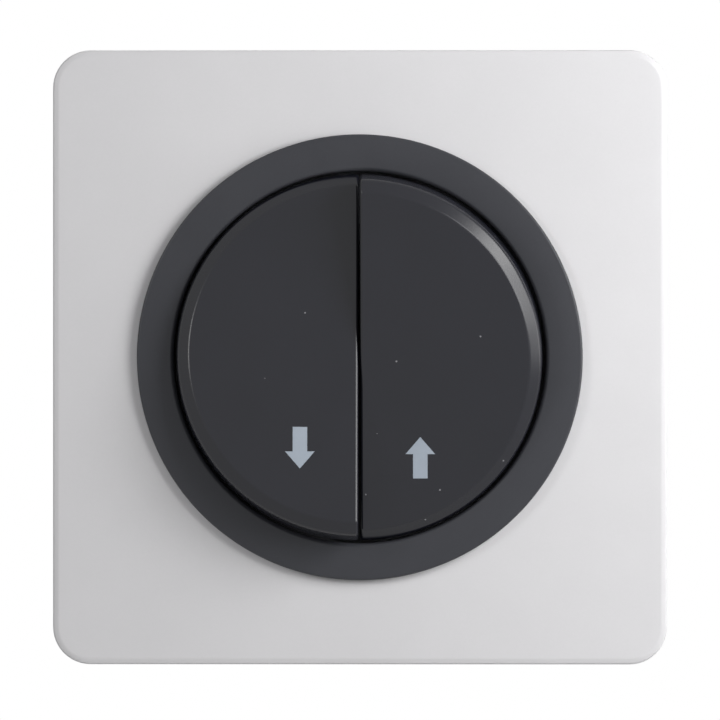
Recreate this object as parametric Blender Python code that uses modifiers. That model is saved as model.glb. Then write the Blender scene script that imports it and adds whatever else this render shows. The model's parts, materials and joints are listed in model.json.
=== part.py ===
"""A roller shutter switch for a flush wall box: two latching rockers in a round trim ring.

The wall is the plane y = 0. +Y goes into the wall, +Z is up, and +X is to the right as seen
from the room. Every size is in metres. The switch is modelled at rest: the down rocker is off,
with its lower end out, and the up rocker is on, with its lower end in.
"""

from math import asin, atan2, cos, pi, radians, sin, sqrt, tan

import bmesh
import bpy
from mathutils import Matrix, Vector

# Gaps between pieces
SEAT_GAP = 0.0002
SLIDE_GAP = 0.0003
SWING_GAP = 0.0004
BEARING_GAP = 0.00015
CONTACT_GAP = 0.00008

# Rockers, as half discs that tilt about one line
ROCKER_RADIUS = 0.02455
ROCKER_DRAFT = 0.0005
ROCKER_SHOULDER = 0.0005
ROCKER_EDGE = 0.0011
ROCKER_BEVEL = 0.00155
ROCKER_BEVEL_DEPTH = 0.0026
ROCKER_RISE = 0.00395
ROCKER_SKIRT = 0.0016
ROCKER_FACE_WALL = 0.0018
ROCKER_SIDE_WALL = 0.0015
ROCKER_SEAM = 0.00034
ROCKER_TILT = radians(8)
ROCKER_PROUD = 0.004

# Trim ring
RING_WIDTH = 0.0046
RING_FLANGE = 0.0011
RING_GAP = 0.00085
COLLAR_WALL = 0.0016
RING_EDGE = 0.0004
LEG_WALL = 0.0011
LEG_WIDTH = 0.0055
LEG_BARB = 0.0007
LEG_HOOK = 0.0014
LEG_ANGLE = radians(22)

# Cover plate, with the room round the frame that it covers
PLATE_WALL = 0.002
PLATE_ROOM = 0.0035
PLATE_CORNER = 0.005
PLATE_EDGE = 0.00105
PLATE_RIB = 0.0012
PLATE_RIB_DEPTH = 0.0022

# Stamped support frame, with the margin of metal outside its slots
FRAME_SHEET = 0.0012
FRAME_MARGIN = 0.0034
FRAME_CORNER = 0.006
FRAME_FILLET = 0.0008
BOX_SCREW_SPACING = 0.06
BOX_SLOT_WIDTH = 0.0042
BOX_SLOT_LENGTH = 0.009

# Mechanism cover with its bearing cheeks
COVER_SHEET = 0.0025
COVER_MARGIN = 0.0006
CHEEK_WALL = 0.0016
CHEEK_FOOT = 0.0066
CHEEK_HEAD = 0.0052
CHEEK_LIP = 0.0009
SNAP_SHARE = 0.8

# Lever, plunger and spring
LEVER_HALF = 0.0042
SADDLE_HALF = 0.007
SADDLE_SHEET = 0.0012
AXLE_RADIUS = 0.0015
STEM_RADIUS = 0.003
STEM_REACH = 0.0102
BORE_RADIUS = 0.0021
BORE_START = 0.0019
PLUNGER_REACH = 0.0147
PLUNGER_LENGTH = 0.0076
PLUNGER_GAP = 0.0002
SPIGOT_RADIUS = 0.0009
SPIGOT_LENGTH = 0.0012
SPRING_WIRE = 0.0004
SPRING_TURNS = 4.5
HOOK_WIDTH = 0.005
HOOK_WALL = 0.001
HOOK_BARB = 0.0007
RIB_WALL = 0.001
RIB_DEPTH = 0.0016
RIB_HALF = 0.008
RIB_ROOM = 0.0007

# Contact arms and conductors
SHEET = 0.0008
CONTACT_WIDTH = 0.005
ARM = 0.0085
ARM_END = 0.0016
ARM_RATIO = 0.8
BEAD_RADIUS = 0.0012
CRADLE_HALF = 0.0024
RIVET_RADIUS = 0.0015
RIVET_DOME = 0.0008
RIVET_FLAT = 0.0006
SHANK_RADIUS = 0.0007
SHANK_GAP = 0.0001
RIVET_TAIL = 0.0003
TAB_SETBACK = 0.0013
TAB_LENGTH = 0.0055
LINK_OVERHANG = 0.002
SUPPLY_RUN_GAP = 0.0006

# Terminals
TERMINAL_WIDTH = 0.007
TERMINAL_HEIGHT = 0.0064
TERMINAL_LENGTH = 0.0085
WIRE_RADIUS = 0.0015
TERMINAL_SCREW_RADIUS = 0.0013
TERMINAL_HEAD_RADIUS = 0.0021
TERMINAL_HEAD = 0.0013

# Base housing, whose corners are cut off between its screws and its terminals
HOUSING_WALL = 0.0018
HOUSING_ROOM = 0.00085
HOUSING_FILLET = 0.0008
CORNER_RISE = 0.0019
CORNER_INSET = 0.0008
SCREW_BOSS = 0.0034
CORE_WALL = 0.002
CORE_RIB = 0.0012

# Housing screws, with the margin of the cover outside their heads
SCREW_MARGIN = 0.00087
SCREW_RADIUS = 0.0011
SCREW_HEAD_RADIUS = 0.0018
SCREW_HEAD = 0.0012
SCREW_LENGTH = 0.01
SCREW_SLOT = 0.0005

# Fineness of the round shapes, as steps in a full turn
ROUND_STEPS = 64
ROD_STEPS = 24
SMALL_STEPS = 12
COIL_STEPS = 9

# Steps in a half turn, a quarter turn and a small fillet
BEAD_STEPS = 8
END_STEPS = 6
CORNER_STEPS = 6
FILLET_STEPS = 3
SHARP_ANGLE = radians(30)

# Merge distance, and how far shapes that are fused or cut reach into each other
MERGE = 0.000001
BITE = 0.0003

# Places worked out from the sizes, from the wall forwards; y falls towards the room
FRAME_FRONT = -FRAME_SHEET
COVER_BACK = FRAME_FRONT - SEAT_GAP
COVER_FRONT = COVER_BACK - COVER_SHEET
RIM_SWING = ROCKER_SKIRT * cos(ROCKER_TILT) + ROCKER_RADIUS * sin(ROCKER_TILT)
PIVOT_Y = COVER_FRONT - SWING_GAP - RIM_SWING
RING_FACE = PIVOT_Y - ROCKER_RISE + ROCKER_PROUD
FLANGE_BACK = RING_FACE + RING_FLANGE
PLATE_FRONT = FLANGE_BACK + SEAT_GAP
COLLAR_INNER = ROCKER_RADIUS + RING_GAP
COLLAR_OUTER = COLLAR_INNER + COLLAR_WALL
RING_RADIUS = COLLAR_INNER + RING_WIDTH
COLLAR_END = FRAME_FRONT - SLIDE_GAP
PLATE_HOLE = COLLAR_OUTER + SLIDE_GAP
COVER_RADIUS = COLLAR_INNER - COVER_MARGIN
SCREW_SEAT = COVER_FRONT + SEAT_GAP + SCREW_HEAD
FRAME_SIDE = BOX_SCREW_SPACING + BOX_SLOT_WIDTH + 2 * FRAME_MARGIN
PLATE_SIDE = FRAME_SIDE + 2 * (PLATE_ROOM + PLATE_WALL)

# The housing stands between the ring's legs, with its screws in its sides and the poles between them
LEG_INNER = COLLAR_OUTER - LEG_WALL
LEG_FAR_ANGLE = LEG_ANGLE + asin(LEG_WIDTH / 2 / LEG_INNER)
CHAMBER_HALF = max(STEM_RADIUS, CONTACT_WIDTH / 2) + SWING_GAP
POCKET_HALF = TERMINAL_WIDTH / 2 + SLIDE_GAP
HOUSING_HALF_WIDTH = LEG_INNER * cos(LEG_FAR_ANGLE) - HOUSING_ROOM
SCREW_X = HOUSING_HALF_WIDTH - SCREW_BOSS
SCREW_RING = COVER_RADIUS - SCREW_HEAD_RADIUS - SCREW_MARGIN
SCREW_HEIGHT = sqrt(SCREW_RING**2 - SCREW_X**2)
POLE_OFFSET = SCREW_X - SLIDE_GAP - SCREW_RADIUS - HOUSING_WALL - CHAMBER_HALF
CORE_WIDTH = POLE_OFFSET - POCKET_HALF - CORE_WALL - CORE_RIB / 2
RIB_OFFSET = LEVER_HALF + SWING_GAP + CHEEK_WALL + RIB_ROOM + RIB_WALL / 2

# Places behind the wall plane
ARM_TILT = ROCKER_TILT * ARM_RATIO
ARM_Y = PIVOT_Y + PLUNGER_REACH + CONTACT_GAP + SHEET
TAIL_RADIUS = (SHANK_RADIUS + RIVET_RADIUS) / 2
DOME_RADIUS = (RIVET_RADIUS**2 + RIVET_DOME**2) / (2 * RIVET_DOME)
DOME_REACH = (RIVET_DOME - DOME_RADIUS) * cos(ARM_TILT) + ARM * sin(ARM_TILT) + DOME_RADIUS
STRIP_FRONT = ARM_Y + DOME_REACH + CONTACT_GAP + RIVET_FLAT
STRIP_BACK = STRIP_FRONT + SHEET
CRADLE_FRONT = ARM_Y + CRADLE_HALF * sin(ARM_TILT) + BEARING_GAP
GROOVE_RADIUS = BEAD_RADIUS + BEARING_GAP
FLOOR = STRIP_BACK + SEAT_GAP
HALF_WIDTH = CONTACT_WIDTH / 2
TAB_Z = ARM + ARM_END + TAB_SETBACK
TERMINAL_Z = TAB_Z + SHEET + SEAT_GAP
TERMINAL_TOP = TERMINAL_Z + TERMINAL_HEIGHT
TERMINAL_FRONT = FLOOR
TERMINAL_BACK = TERMINAL_FRONT + TERMINAL_LENGTH
TERMINAL_MIDDLE_Y = (TERMINAL_FRONT + TERMINAL_BACK) / 2
WIRE_Z = (TERMINAL_Z + TERMINAL_TOP) / 2 - SEAT_GAP
POCKET_BACK = TERMINAL_BACK + SEAT_GAP
SUPPLY_RUN_BACK = POCKET_BACK - SUPPLY_RUN_GAP
HOUSING_BACK = POCKET_BACK + HOUSING_WALL
HOUSING_FRONT = SEAT_GAP
HOUSING_HALF_HEIGHT = TERMINAL_TOP + SLIDE_GAP + HOUSING_WALL

LEFT, RIGHT = -1, 1
SIDES = {"down": LEFT, "up": RIGHT}
FACING_ROOM = (pi / 2, 0, 0)
FROM_THE_SIDE = (pi / 2, 0, pi / 2)


def arc(centre, radius, start, end, steps):
    """Points along an arc, both ends included."""
    turn = (end - start) / steps
    return [
        (centre[0] + radius * cos(start + turn * i), centre[1] + radius * sin(start + turn * i))
        for i in range(steps + 1)
    ]


def circle(centre, radius, steps=ROD_STEPS):
    """A round hole or a disc in a flat outline."""
    return arc(centre, radius, 0, 2 * pi, steps)[:-1]


def slot(centre, length, width, upright):
    """A slot with round ends. Its length is measured over the ends."""
    reach = (length - width) / 2
    ends = arc((reach, 0), width / 2, -pi / 2, pi / 2, END_STEPS)
    ends += arc((-reach, 0), width / 2, pi / 2, 1.5 * pi, END_STEPS)
    if upright:
        ends = [(-b, a) for a, b in ends]
    return [(centre[0] + a, centre[1] + b) for a, b in ends]


def rectangle(a, b):
    """A rectangle between two values across and two values up."""
    return [(a[0], b[0]), (a[1], b[0]), (a[1], b[1]), (a[0], b[1])]


def rounded(corners, closed=True):
    """An outline from (a, b, radius) corners, with each radius drawn as a short arc."""
    outline = []
    for i, (a, b, radius) in enumerate(corners):
        corner = Vector((a, b))
        at_end = not closed and i in (0, len(corners) - 1)
        if radius == 0 or at_end:
            outline.append((a, b))
            continue
        to_last = (Vector(corners[i - 1][:2]) - corner).normalized()
        to_next = (Vector(corners[(i + 1) % len(corners)][:2]) - corner).normalized()
        half = to_last.angle(to_next) / 2
        centre = corner + (to_last + to_next).normalized() * radius / sin(half)
        first = corner + to_last * radius / tan(half) - centre
        last = corner + to_next * radius / tan(half) - centre
        start = atan2(first.y, first.x)
        turn = atan2(first.cross(last), first.dot(last))
        outline += arc(centre, radius, start, start + turn, FILLET_STEPS)
    return outline


def new_material(name, colour, roughness, metallic=0.0):
    """A Principled material with a linear base colour."""
    material = bpy.data.materials.new(name)
    material.use_nodes = True
    shader = material.node_tree.nodes["Principled BSDF"]
    shader.inputs["Base Color"].default_value = (*colour, 1)
    shader.inputs["Roughness"].default_value = roughness
    shader.inputs["Metallic"].default_value = metallic
    return material


class Workshop:
    """Holds the two collections and the materials, and makes objects in them."""

    def __init__(self):
        scene = bpy.context.scene.collection
        self.parts = bpy.data.collections.new("roller_shutter_switch")
        self.cutters = bpy.data.collections.new("cutters")
        scene.children.link(self.parts)
        scene.children.link(self.cutters)
        self.finish = {
            "plate": new_material("matt_white_plastic", (0.68, 0.675, 0.69), 0.45),
            "anthracite": new_material("anthracite_plastic", (0.045, 0.045, 0.053), 0.42),
            "zinc": new_material("zinc_plated_steel", (0.62, 0.63, 0.65), 0.35, 1.0),
            "housing": new_material("light_grey_thermoset", (0.52, 0.52, 0.5), 0.55),
            "lever": new_material("natural_acetal", (0.78, 0.77, 0.72), 0.4),
            "brass": new_material("brass", (0.72, 0.53, 0.24), 0.3, 1.0),
            "silver": new_material("silver", (0.85, 0.84, 0.82), 0.25, 1.0),
            "steel": new_material("spring_steel", (0.5, 0.5, 0.52), 0.3, 1.0),
        }

    def keep(self, obj, finish, pivot=None):
        """Makes the object a part, with a finish, and lets it swing with a pivot."""
        self.cutters.objects.unlink(obj)
        self.parts.objects.link(obj)
        obj.hide_render = False
        obj.display_type = "TEXTURED"
        obj.data.materials.append(self.finish[finish])
        obj.parent = pivot
        return obj

    def helper(self, name, data):
        """A new object among the cutters, where it stays unless it is kept as a part."""
        obj = bpy.data.objects.new(name, data)
        self.cutters.objects.link(obj)
        obj.hide_render = True
        obj.display_type = "WIRE"
        return obj

    def mesh(self, name, bm):
        """An object from a bmesh, which is freed."""
        mesh = bpy.data.meshes.new(name)
        bm.to_mesh(mesh)
        bm.free()
        return self.helper(name, mesh)

    def box(self, name, x, y, z):
        """A box between two values of x, y and z."""
        bm = bmesh.new()
        bmesh.ops.create_cube(bm, size=1)
        bmesh.ops.scale(bm, vec=(x[1] - x[0], y[1] - y[0], z[1] - z[0]), verts=bm.verts)
        obj = self.mesh(name, bm)
        obj.location = ((x[0] + x[1]) / 2, (y[0] + y[1]) / 2, (z[0] + z[1]) / 2)
        return obj

    def rod(self, name, radius, start, end, steps=ROD_STEPS):
        """A cylinder between two centres that lie on a line along X, Y or Z."""
        start, end = Vector(start), Vector(end)
        bm = bmesh.new()
        bmesh.ops.create_cone(
            bm,
            cap_ends=True,
            segments=steps,
            radius1=radius,
            radius2=radius,
            depth=(end - start).length,
        )
        obj = self.mesh(name, bm)
        obj.location = (start + end) / 2
        obj.rotation_euler = (end - start).to_track_quat("Z", "Y").to_euler()
        return obj

    def turned(self, name, profile, steps=ROUND_STEPS, ring=False):
        """A (radius, height) profile swept round the local Z axis by a Screw modifier."""
        count = len(profile)
        edges = [(i, i + 1) for i in range(count - 1)]
        if ring:
            edges.append((count - 1, 0))
        mesh = bpy.data.meshes.new(name)
        mesh.from_pydata([(radius, 0, height) for radius, height in profile], edges, [])
        obj = self.helper(name, mesh)
        screw = obj.modifiers.new("Turn", "SCREW")
        screw.steps = screw.render_steps = steps
        screw.use_merge_vertices = not ring
        screw.merge_threshold = MERGE
        return obj

    def sheet(self, name, outlines, thickness):
        """A flat piece from closed outlines, holes among them, centred on its thickness."""
        curve = bpy.data.curves.new(name, "CURVE")
        curve.dimensions = "2D"
        curve.fill_mode = "BOTH"
        curve.extrude = thickness / 2
        for outline in outlines:
            spline = curve.splines.new("POLY")
            spline.points.add(len(outline) - 1)
            for point, (a, b) in zip(spline.points, outline):
                point.co = (a, b, 0, 1)
            spline.use_cyclic_u = True
        guide = self.helper(name + "_outline", curve)
        depsgraph = bpy.context.evaluated_depsgraph_get()
        flat = bpy.data.meshes.new_from_object(guide.evaluated_get(depsgraph))
        bm = bmesh.new()
        bm.from_mesh(flat)
        bmesh.ops.remove_doubles(bm, verts=bm.verts, dist=MERGE)
        bpy.data.objects.remove(guide)
        bpy.data.meshes.remove(flat)
        return self.mesh(name, bm)

    def plan(self, name, outlines, y):
        """A flat piece drawn as seen from the room, between two values of y."""
        obj = self.sheet(name, outlines, y[1] - y[0])
        obj.rotation_euler = FACING_ROOM
        obj.location.y = (y[0] + y[1]) / 2
        return obj

    def section(self, name, outlines, x):
        """A piece of constant (y, z) section between two values of x."""
        obj = self.sheet(name, outlines, x[1] - x[0])
        obj.rotation_euler = FROM_THE_SIDE
        obj.location.x = (x[0] + x[1]) / 2
        return obj

    def bore_at(self, name, radius, x, z, y, steps=ROD_STEPS):
        """A cylinder along Y at a place seen from the room."""
        return self.rod(name, radius, (x, y[0], z), (x, y[1], z), steps)

    def pivot(self, name, place, tilt):
        """An empty on a joint's axis, turned about X to its rest angle."""
        empty = bpy.data.objects.new(name, None)
        self.parts.objects.link(empty)
        empty.empty_display_size = ROCKER_RISE
        empty.location = place
        empty.rotation_euler.x = tilt
        return empty


def combine(obj, other, operation):
    """Adds a Boolean with the EXACT solver. The other object swings with this one."""
    other.parent = obj.parent
    boolean = obj.modifiers.new(operation.title() + " " + other.name, "BOOLEAN")
    boolean.operation = operation
    boolean.object = other
    boolean.solver = "EXACT"


def join(obj, *others):
    """Fuses other shapes to this one."""
    for other in others:
        combine(obj, other, "UNION")


def cut(obj, *others):
    """Cuts other shapes from this one."""
    for other in others:
        combine(obj, other, "DIFFERENCE")


def smooth(obj):
    """Smooth shading that keeps the corners sharp."""
    obj.data.shade_smooth()
    obj.data.set_sharp_from_angle(angle=SHARP_ANGLE)


def square_block(side, y, corner, edge=0.0):
    """A square block between two values of y, with round corners and a soft front edge."""
    bm = bmesh.new()
    bmesh.ops.create_cube(bm, size=1)
    bmesh.ops.scale(bm, vec=(side, y[1] - y[0], side), verts=bm.verts)
    bmesh.ops.translate(bm, vec=(0, (y[0] + y[1]) / 2, 0), verts=bm.verts)
    along_y = [e for e in bm.edges if abs(e.verts[0].co.y - e.verts[1].co.y) > MERGE]
    round_off(bm, along_y, corner, CORNER_STEPS)
    if edge:
        front = [e for e in bm.edges if all(abs(v.co.y - y[0]) < MERGE for v in e.verts)]
        round_off(bm, front, edge, FILLET_STEPS)
    return bm


def round_off(bm, edges, radius, steps):
    """Rounds some edges of a bmesh, to a quarter circle where two faces meet squarely."""
    bmesh.ops.bevel(bm, geom=edges, offset=radius, segments=steps, profile=0.5, affect="EDGES")


def mirrored(points, sign):
    """The same outline on the other side of the first axis, where sign is -1."""
    return [(a, b * sign) for a, b in points]


def add_cover_plate(shop):
    """The square plate: a shell open at its back, with ribs and a collar behind a round hole."""
    plate = shop.mesh("cover_plate", square_block(PLATE_SIDE, (PLATE_FRONT, 0), PLATE_CORNER, PLATE_EDGE))
    shop.keep(plate, "plate")
    inner_side = PLATE_SIDE - 2 * PLATE_WALL
    hollow = square_block(inner_side, (PLATE_FRONT + PLATE_WALL, PLATE_WALL), PLATE_CORNER - PLATE_WALL)
    cut(plate, shop.mesh("plate_hollow", hollow))

    inside = PLATE_FRONT + PLATE_WALL
    half = PLATE_SIDE / 2 - PLATE_WALL / 2
    diagonal = half * sqrt(2) - (PLATE_CORNER - PLATE_WALL / 2) * (sqrt(2) - 1)
    for i, reach in enumerate((half, diagonal, half, diagonal)):
        rib = shop.box(
            f"plate_rib_{i + 1}",
            (-reach, reach),
            (inside - BITE, inside + PLATE_RIB_DEPTH),
            (-PLATE_RIB / 2, PLATE_RIB / 2),
        )
        rib.rotation_euler.y = i * pi / 4
        join(plate, rib)
    collar_depth = (inside - BITE, COLLAR_END)
    join(plate, shop.bore_at("plate_collar", PLATE_HOLE + PLATE_WALL, 0, 0, collar_depth, ROUND_STEPS))
    hole_depth = (PLATE_FRONT - PLATE_WALL, PLATE_WALL)
    cut(plate, shop.bore_at("plate_hole", PLATE_HOLE, 0, 0, hole_depth, ROUND_STEPS))
    smooth(plate)


def add_trim_ring(shop):
    """The ring: a flange on the plate, a collar round the rockers and four snap legs."""
    profile = rounded(
        [
            (COLLAR_INNER, -RING_FACE, RING_EDGE),
            (RING_RADIUS, -RING_FACE, RING_EDGE),
            (RING_RADIUS, -FLANGE_BACK, 0),
            (COLLAR_OUTER, -FLANGE_BACK, 0),
            (COLLAR_OUTER, -COLLAR_END, 0),
            (COLLAR_INNER, -COLLAR_END, 0),
        ]
    )
    ring = shop.turned("trim_ring", profile, ring=True)
    ring.rotation_euler = FACING_ROOM
    shop.keep(ring, "anthracite")
    hook = SLIDE_GAP
    leg_profile = [
        (LEG_INNER, -COLLAR_END + BITE),
        (COLLAR_OUTER - SEAT_GAP, -COLLAR_END + BITE),
        (COLLAR_OUTER - SEAT_GAP, -hook),
        (COLLAR_OUTER + LEG_BARB, -hook),
        (LEG_INNER + LEG_WALL / 2, -hook - LEG_HOOK),
        (LEG_INNER, -hook - LEG_HOOK),
    ]
    for name, angle in (("rising", LEG_ANGLE), ("falling", -LEG_ANGLE)):
        legs = shop.turned(f"legs_{name}", leg_profile, ring=True)
        legs.rotation_euler = FACING_ROOM
        reach = RING_RADIUS
        bar = shop.box(
            f"leg_bar_{name}",
            (-reach, reach),
            (COLLAR_END - RING_FLANGE, hook + 2 * LEG_HOOK),
            (-LEG_WIDTH / 2, LEG_WIDTH / 2),
        )
        bar.rotation_euler.y = -angle
        combine(legs, bar, "INTERSECT")
        join(ring, legs)
    smooth(ring)


def add_support_frame(shop):
    """The stamped frame: slots for the box screws, and holes for legs, stems and screws."""
    half = FRAME_SIDE / 2
    cut_off = half - FRAME_CORNER
    corners = [(half, cut_off), (cut_off, half), (-cut_off, half), (-half, cut_off)]
    corners += [(-a, -b) for a, b in corners]
    outlines = [rounded([(a, b, FRAME_FILLET) for a, b in corners])]
    reach = BOX_SCREW_SPACING / 2
    for sign in (LEFT, RIGHT):
        outlines.append(slot((sign * reach, 0), BOX_SLOT_LENGTH, BOX_SLOT_WIDTH, True))
        outlines.append(slot((0, sign * reach), BOX_SLOT_LENGTH, BOX_SLOT_WIDTH, False))
        outlines.append(stem_slot(sign))
        for z in (-SCREW_HEIGHT, SCREW_HEIGHT):
            outlines.append(circle((sign * SCREW_X, z), SCREW_RADIUS + SLIDE_GAP, SMALL_STEPS))
        for angle in (LEG_ANGLE, -LEG_ANGLE):
            outlines.append(leg_window(angle if sign == RIGHT else angle + pi))
    frame = shop.plan("support_frame", outlines, (FRAME_FRONT, 0))
    shop.keep(frame, "zinc")
    smooth(frame)


def stem_slot(side):
    """The slot that a lever's stem swings in, seen from the room."""
    swing = (STEM_REACH + STEM_RADIUS) * sin(ROCKER_TILT)
    half_width = STEM_RADIUS + SWING_GAP
    return slot((side * POLE_OFFSET, 0), 2 * (half_width + swing), 2 * half_width, True)


def leg_window(angle):
    """The window in the frame that a snap leg hooks through, seen from the room."""
    inner = LEG_INNER - SLIDE_GAP
    outer = COLLAR_OUTER + SLIDE_GAP
    half = LEG_WIDTH / 2 + SLIDE_GAP
    turn = Matrix.Rotation(angle, 2)
    return [tuple(turn @ Vector(corner)) for corner in rectangle((inner, outer), (-half, half))]


def add_mechanism_cover(shop):
    """The moulded disc in front of the frame, with two bearing cheeks for each lever."""
    outlines = [circle((0, 0), COVER_RADIUS, ROUND_STEPS), stem_slot(LEFT), stem_slot(RIGHT)]
    cover = shop.plan("mechanism_cover", outlines, (COVER_FRONT, COVER_BACK))
    shop.keep(cover, "housing")
    bearing = AXLE_RADIUS + BEARING_GAP
    top = PIVOT_Y - CHEEK_LIP
    for side in (LEFT, RIGHT):
        for face in (LEFT, RIGHT):
            near = side * POLE_OFFSET + face * (LEVER_HALF + SWING_GAP)
            far = near + face * CHEEK_WALL
            outline = [
                (COVER_FRONT + BITE, -CHEEK_FOOT / 2),
                (top, -CHEEK_HEAD / 2),
                (top, CHEEK_HEAD / 2),
                (COVER_FRONT + BITE, CHEEK_FOOT / 2),
            ]
            name = f"cheek_{side}_{face}"
            join(cover, shop.section(name, [outline], sorted((near, far))))
    across = POLE_OFFSET + LEVER_HALF + SWING_GAP + 2 * CHEEK_WALL
    throat = bearing * SNAP_SHARE
    cut(
        cover,
        shop.rod("bearing_bore", bearing, (-across, PIVOT_Y, 0), (across, PIVOT_Y, 0)),
        shop.box("bearing_throat", (-across, across), (top - CHEEK_LIP, PIVOT_Y), (-throat, throat)),
    )
    hole = SCREW_RADIUS + SLIDE_GAP
    sink = SCREW_HEAD_RADIUS + SLIDE_GAP
    through = (COVER_FRONT - BITE, COVER_BACK + BITE)
    sunk = (COVER_FRONT - BITE, SCREW_SEAT)
    for number, (x, z) in enumerate(screw_places(), 1):
        cut(
            cover,
            shop.bore_at(f"cover_hole_{number}", hole, x, z, through, SMALL_STEPS),
            shop.bore_at(f"cover_sink_{number}", sink, x, z, sunk, SMALL_STEPS),
        )
    smooth(cover)


def screw_places():
    """Where the four housing screws stand, seen from the room."""
    return [(side * SCREW_X, z) for side in (LEFT, RIGHT) for z in (-SCREW_HEIGHT, SCREW_HEIGHT)]


def add_housing_screws(shop):
    """Four slotted screws that pull the cover, the frame and the base housing together."""
    profile = [
        (0, SCREW_HEAD),
        (SCREW_HEAD_RADIUS, SCREW_HEAD),
        (SCREW_HEAD_RADIUS, SEAT_GAP),
        (SCREW_RADIUS, SEAT_GAP),
        (SCREW_RADIUS, -SCREW_LENGTH + SCREW_RADIUS),
        (0, -SCREW_LENGTH),
    ]
    reach = 2 * SCREW_HEAD_RADIUS
    for number, (x, z) in enumerate(screw_places(), 1):
        screw = shop.turned(f"housing_screw_{number}", profile, SMALL_STEPS)
        screw.rotation_euler = FACING_ROOM
        screw.location = (x, SCREW_SEAT, z)
        shop.keep(screw, "steel")
        slit = shop.box(
            f"screw_slit_{number}",
            (x - reach, x + reach),
            (SCREW_SEAT - 2 * SCREW_HEAD, SCREW_SEAT - SCREW_HEAD + SCREW_SLOT),
            (z - SCREW_SLOT / 2, z + SCREW_SLOT / 2),
        )
        cut(screw, slit)
        smooth(screw)


def add_rocker(shop, name, side, pivot):
    """One half disc: a bevelled cap with a wall along the seam, ribs and two snap hooks."""
    shoulder = ROCKER_RADIUS - ROCKER_DRAFT
    face = shoulder - ROCKER_BEVEL
    shoulder_height = ROCKER_RISE - ROCKER_BEVEL_DEPTH
    outside = rounded(
        [
            (0, ROCKER_RISE, 0),
            (face, ROCKER_RISE, ROCKER_EDGE),
            (shoulder, shoulder_height, ROCKER_SHOULDER),
            (ROCKER_RADIUS, -ROCKER_SKIRT, 0),
            (0, -ROCKER_SKIRT, 0),
        ],
        closed=False,
    )
    cap = shop.turned(f"rocker_{name}", outside)
    cap.rotation_euler = FACING_ROOM
    cap.location.x = -side * POLE_OFFSET
    shop.keep(cap, "anthracite", pivot)
    reach = 2 * ROCKER_RADIUS
    depth = (-reach, reach)
    combine(cap, half_space(shop, f"half_{name}", side, ROCKER_SEAM / 2, depth), "INTERSECT")

    inner_face = ROCKER_RISE - ROCKER_FACE_WALL
    inner_shoulder = shoulder - ROCKER_SIDE_WALL
    inside = [
        (0, inner_face),
        (inner_shoulder - ROCKER_BEVEL, inner_face),
        (inner_shoulder, shoulder_height - ROCKER_FACE_WALL / 2),
        (ROCKER_RADIUS - ROCKER_SIDE_WALL, -ROCKER_SKIRT - BITE),
        (0, -ROCKER_SKIRT - BITE),
    ]
    hollow = shop.turned(f"hollow_{name}", inside)
    hollow.rotation_euler = FACING_ROOM
    hollow.location.x = -side * POLE_OFFSET
    hollow.parent = pivot
    seam_wall = ROCKER_SEAM / 2 + ROCKER_SIDE_WALL
    combine(hollow, half_space(shop, f"hollow_half_{name}", side, seam_wall, depth), "INTERSECT")
    front = -inner_face - BITE
    for offset in (-RIB_OFFSET, RIB_OFFSET):
        rib = shop.box(
            f"rocker_rib_{name}_{offset > 0}",
            (offset - RIB_WALL / 2, offset + RIB_WALL / 2),
            (front, -inner_face + RIB_DEPTH),
            (-RIB_HALF, RIB_HALF),
        )
        cut(hollow, rib)
    cut(cap, hollow)

    saddle_back = -inner_face + SEAT_GAP + SADDLE_SHEET
    catch = saddle_back + SEAT_GAP
    hook_inner = SADDLE_HALF + SLIDE_GAP
    hook = [
        (front, hook_inner),
        (front, hook_inner + HOOK_WALL),
        (catch + 2 * HOOK_BARB, hook_inner + HOOK_WALL),
        (catch + HOOK_BARB, hook_inner - HOOK_BARB),
        (catch, hook_inner - HOOK_BARB),
        (catch, hook_inner),
    ]
    for sign in (LEFT, RIGHT):
        tongue = shop.section(
            f"rocker_hook_{name}_{sign > 0}", [mirrored(hook, sign)], (-HOOK_WIDTH / 2, HOOK_WIDTH / 2)
        )
        join(cap, tongue)
    smooth(cap)


def half_space(shop, name, side, start, depth):
    """A large box on one side of the seam, in the pivot's frame."""
    near = side * (start - POLE_OFFSET)
    far = side * (2 * ROCKER_RADIUS)
    return shop.box(name, sorted((near, far)), depth, depth)


def add_lever(shop, name, pivot):
    """The lever under a rocker: a saddle, an axle and a hollow stem for plunger and spring."""
    inner_face = ROCKER_RISE - ROCKER_FACE_WALL
    saddle = (-inner_face + SEAT_GAP, -inner_face + SEAT_GAP + SADDLE_SHEET)
    stem = [
        (0, -saddle[1] + BITE),
        (STEM_RADIUS, -saddle[1] + BITE),
        (STEM_RADIUS, -STEM_REACH),
        (BORE_RADIUS, -STEM_REACH),
        (BORE_RADIUS, -BORE_START),
        (0, -BORE_START),
    ]
    lever = shop.turned(f"lever_{name}", stem, ROD_STEPS)
    lever.rotation_euler = FACING_ROOM
    shop.keep(lever, "lever", pivot)
    half_axle = LEVER_HALF + SWING_GAP + CHEEK_WALL
    join(
        lever,
        shop.box(f"saddle_{name}", (-LEVER_HALF, LEVER_HALF), saddle, (-SADDLE_HALF, SADDLE_HALF)),
        shop.section(f"hub_{name}", [hub_outline(saddle)], (-LEVER_HALF, LEVER_HALF)),
        shop.rod(f"axle_{name}", AXLE_RADIUS, (-half_axle, 0, 0), (half_axle, 0, 0)),
    )
    bore = shop.rod(f"stem_bore_{name}", BORE_RADIUS, (0, BORE_START, 0), (0, STEM_REACH + BITE, 0))
    cut(lever, bore)
    smooth(lever)


def hub_outline(saddle):
    """The web between saddle and axle, as a (y, z) section that narrows towards the axle."""
    foot = CHEEK_FOOT / 2
    return [
        (saddle[0] + BITE, -foot),
        (saddle[0] + BITE, foot),
        (saddle[1], foot),
        (BORE_START, AXLE_RADIUS),
        (BORE_START, -AXLE_RADIUS),
        (saddle[1], -foot),
    ]


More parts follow.
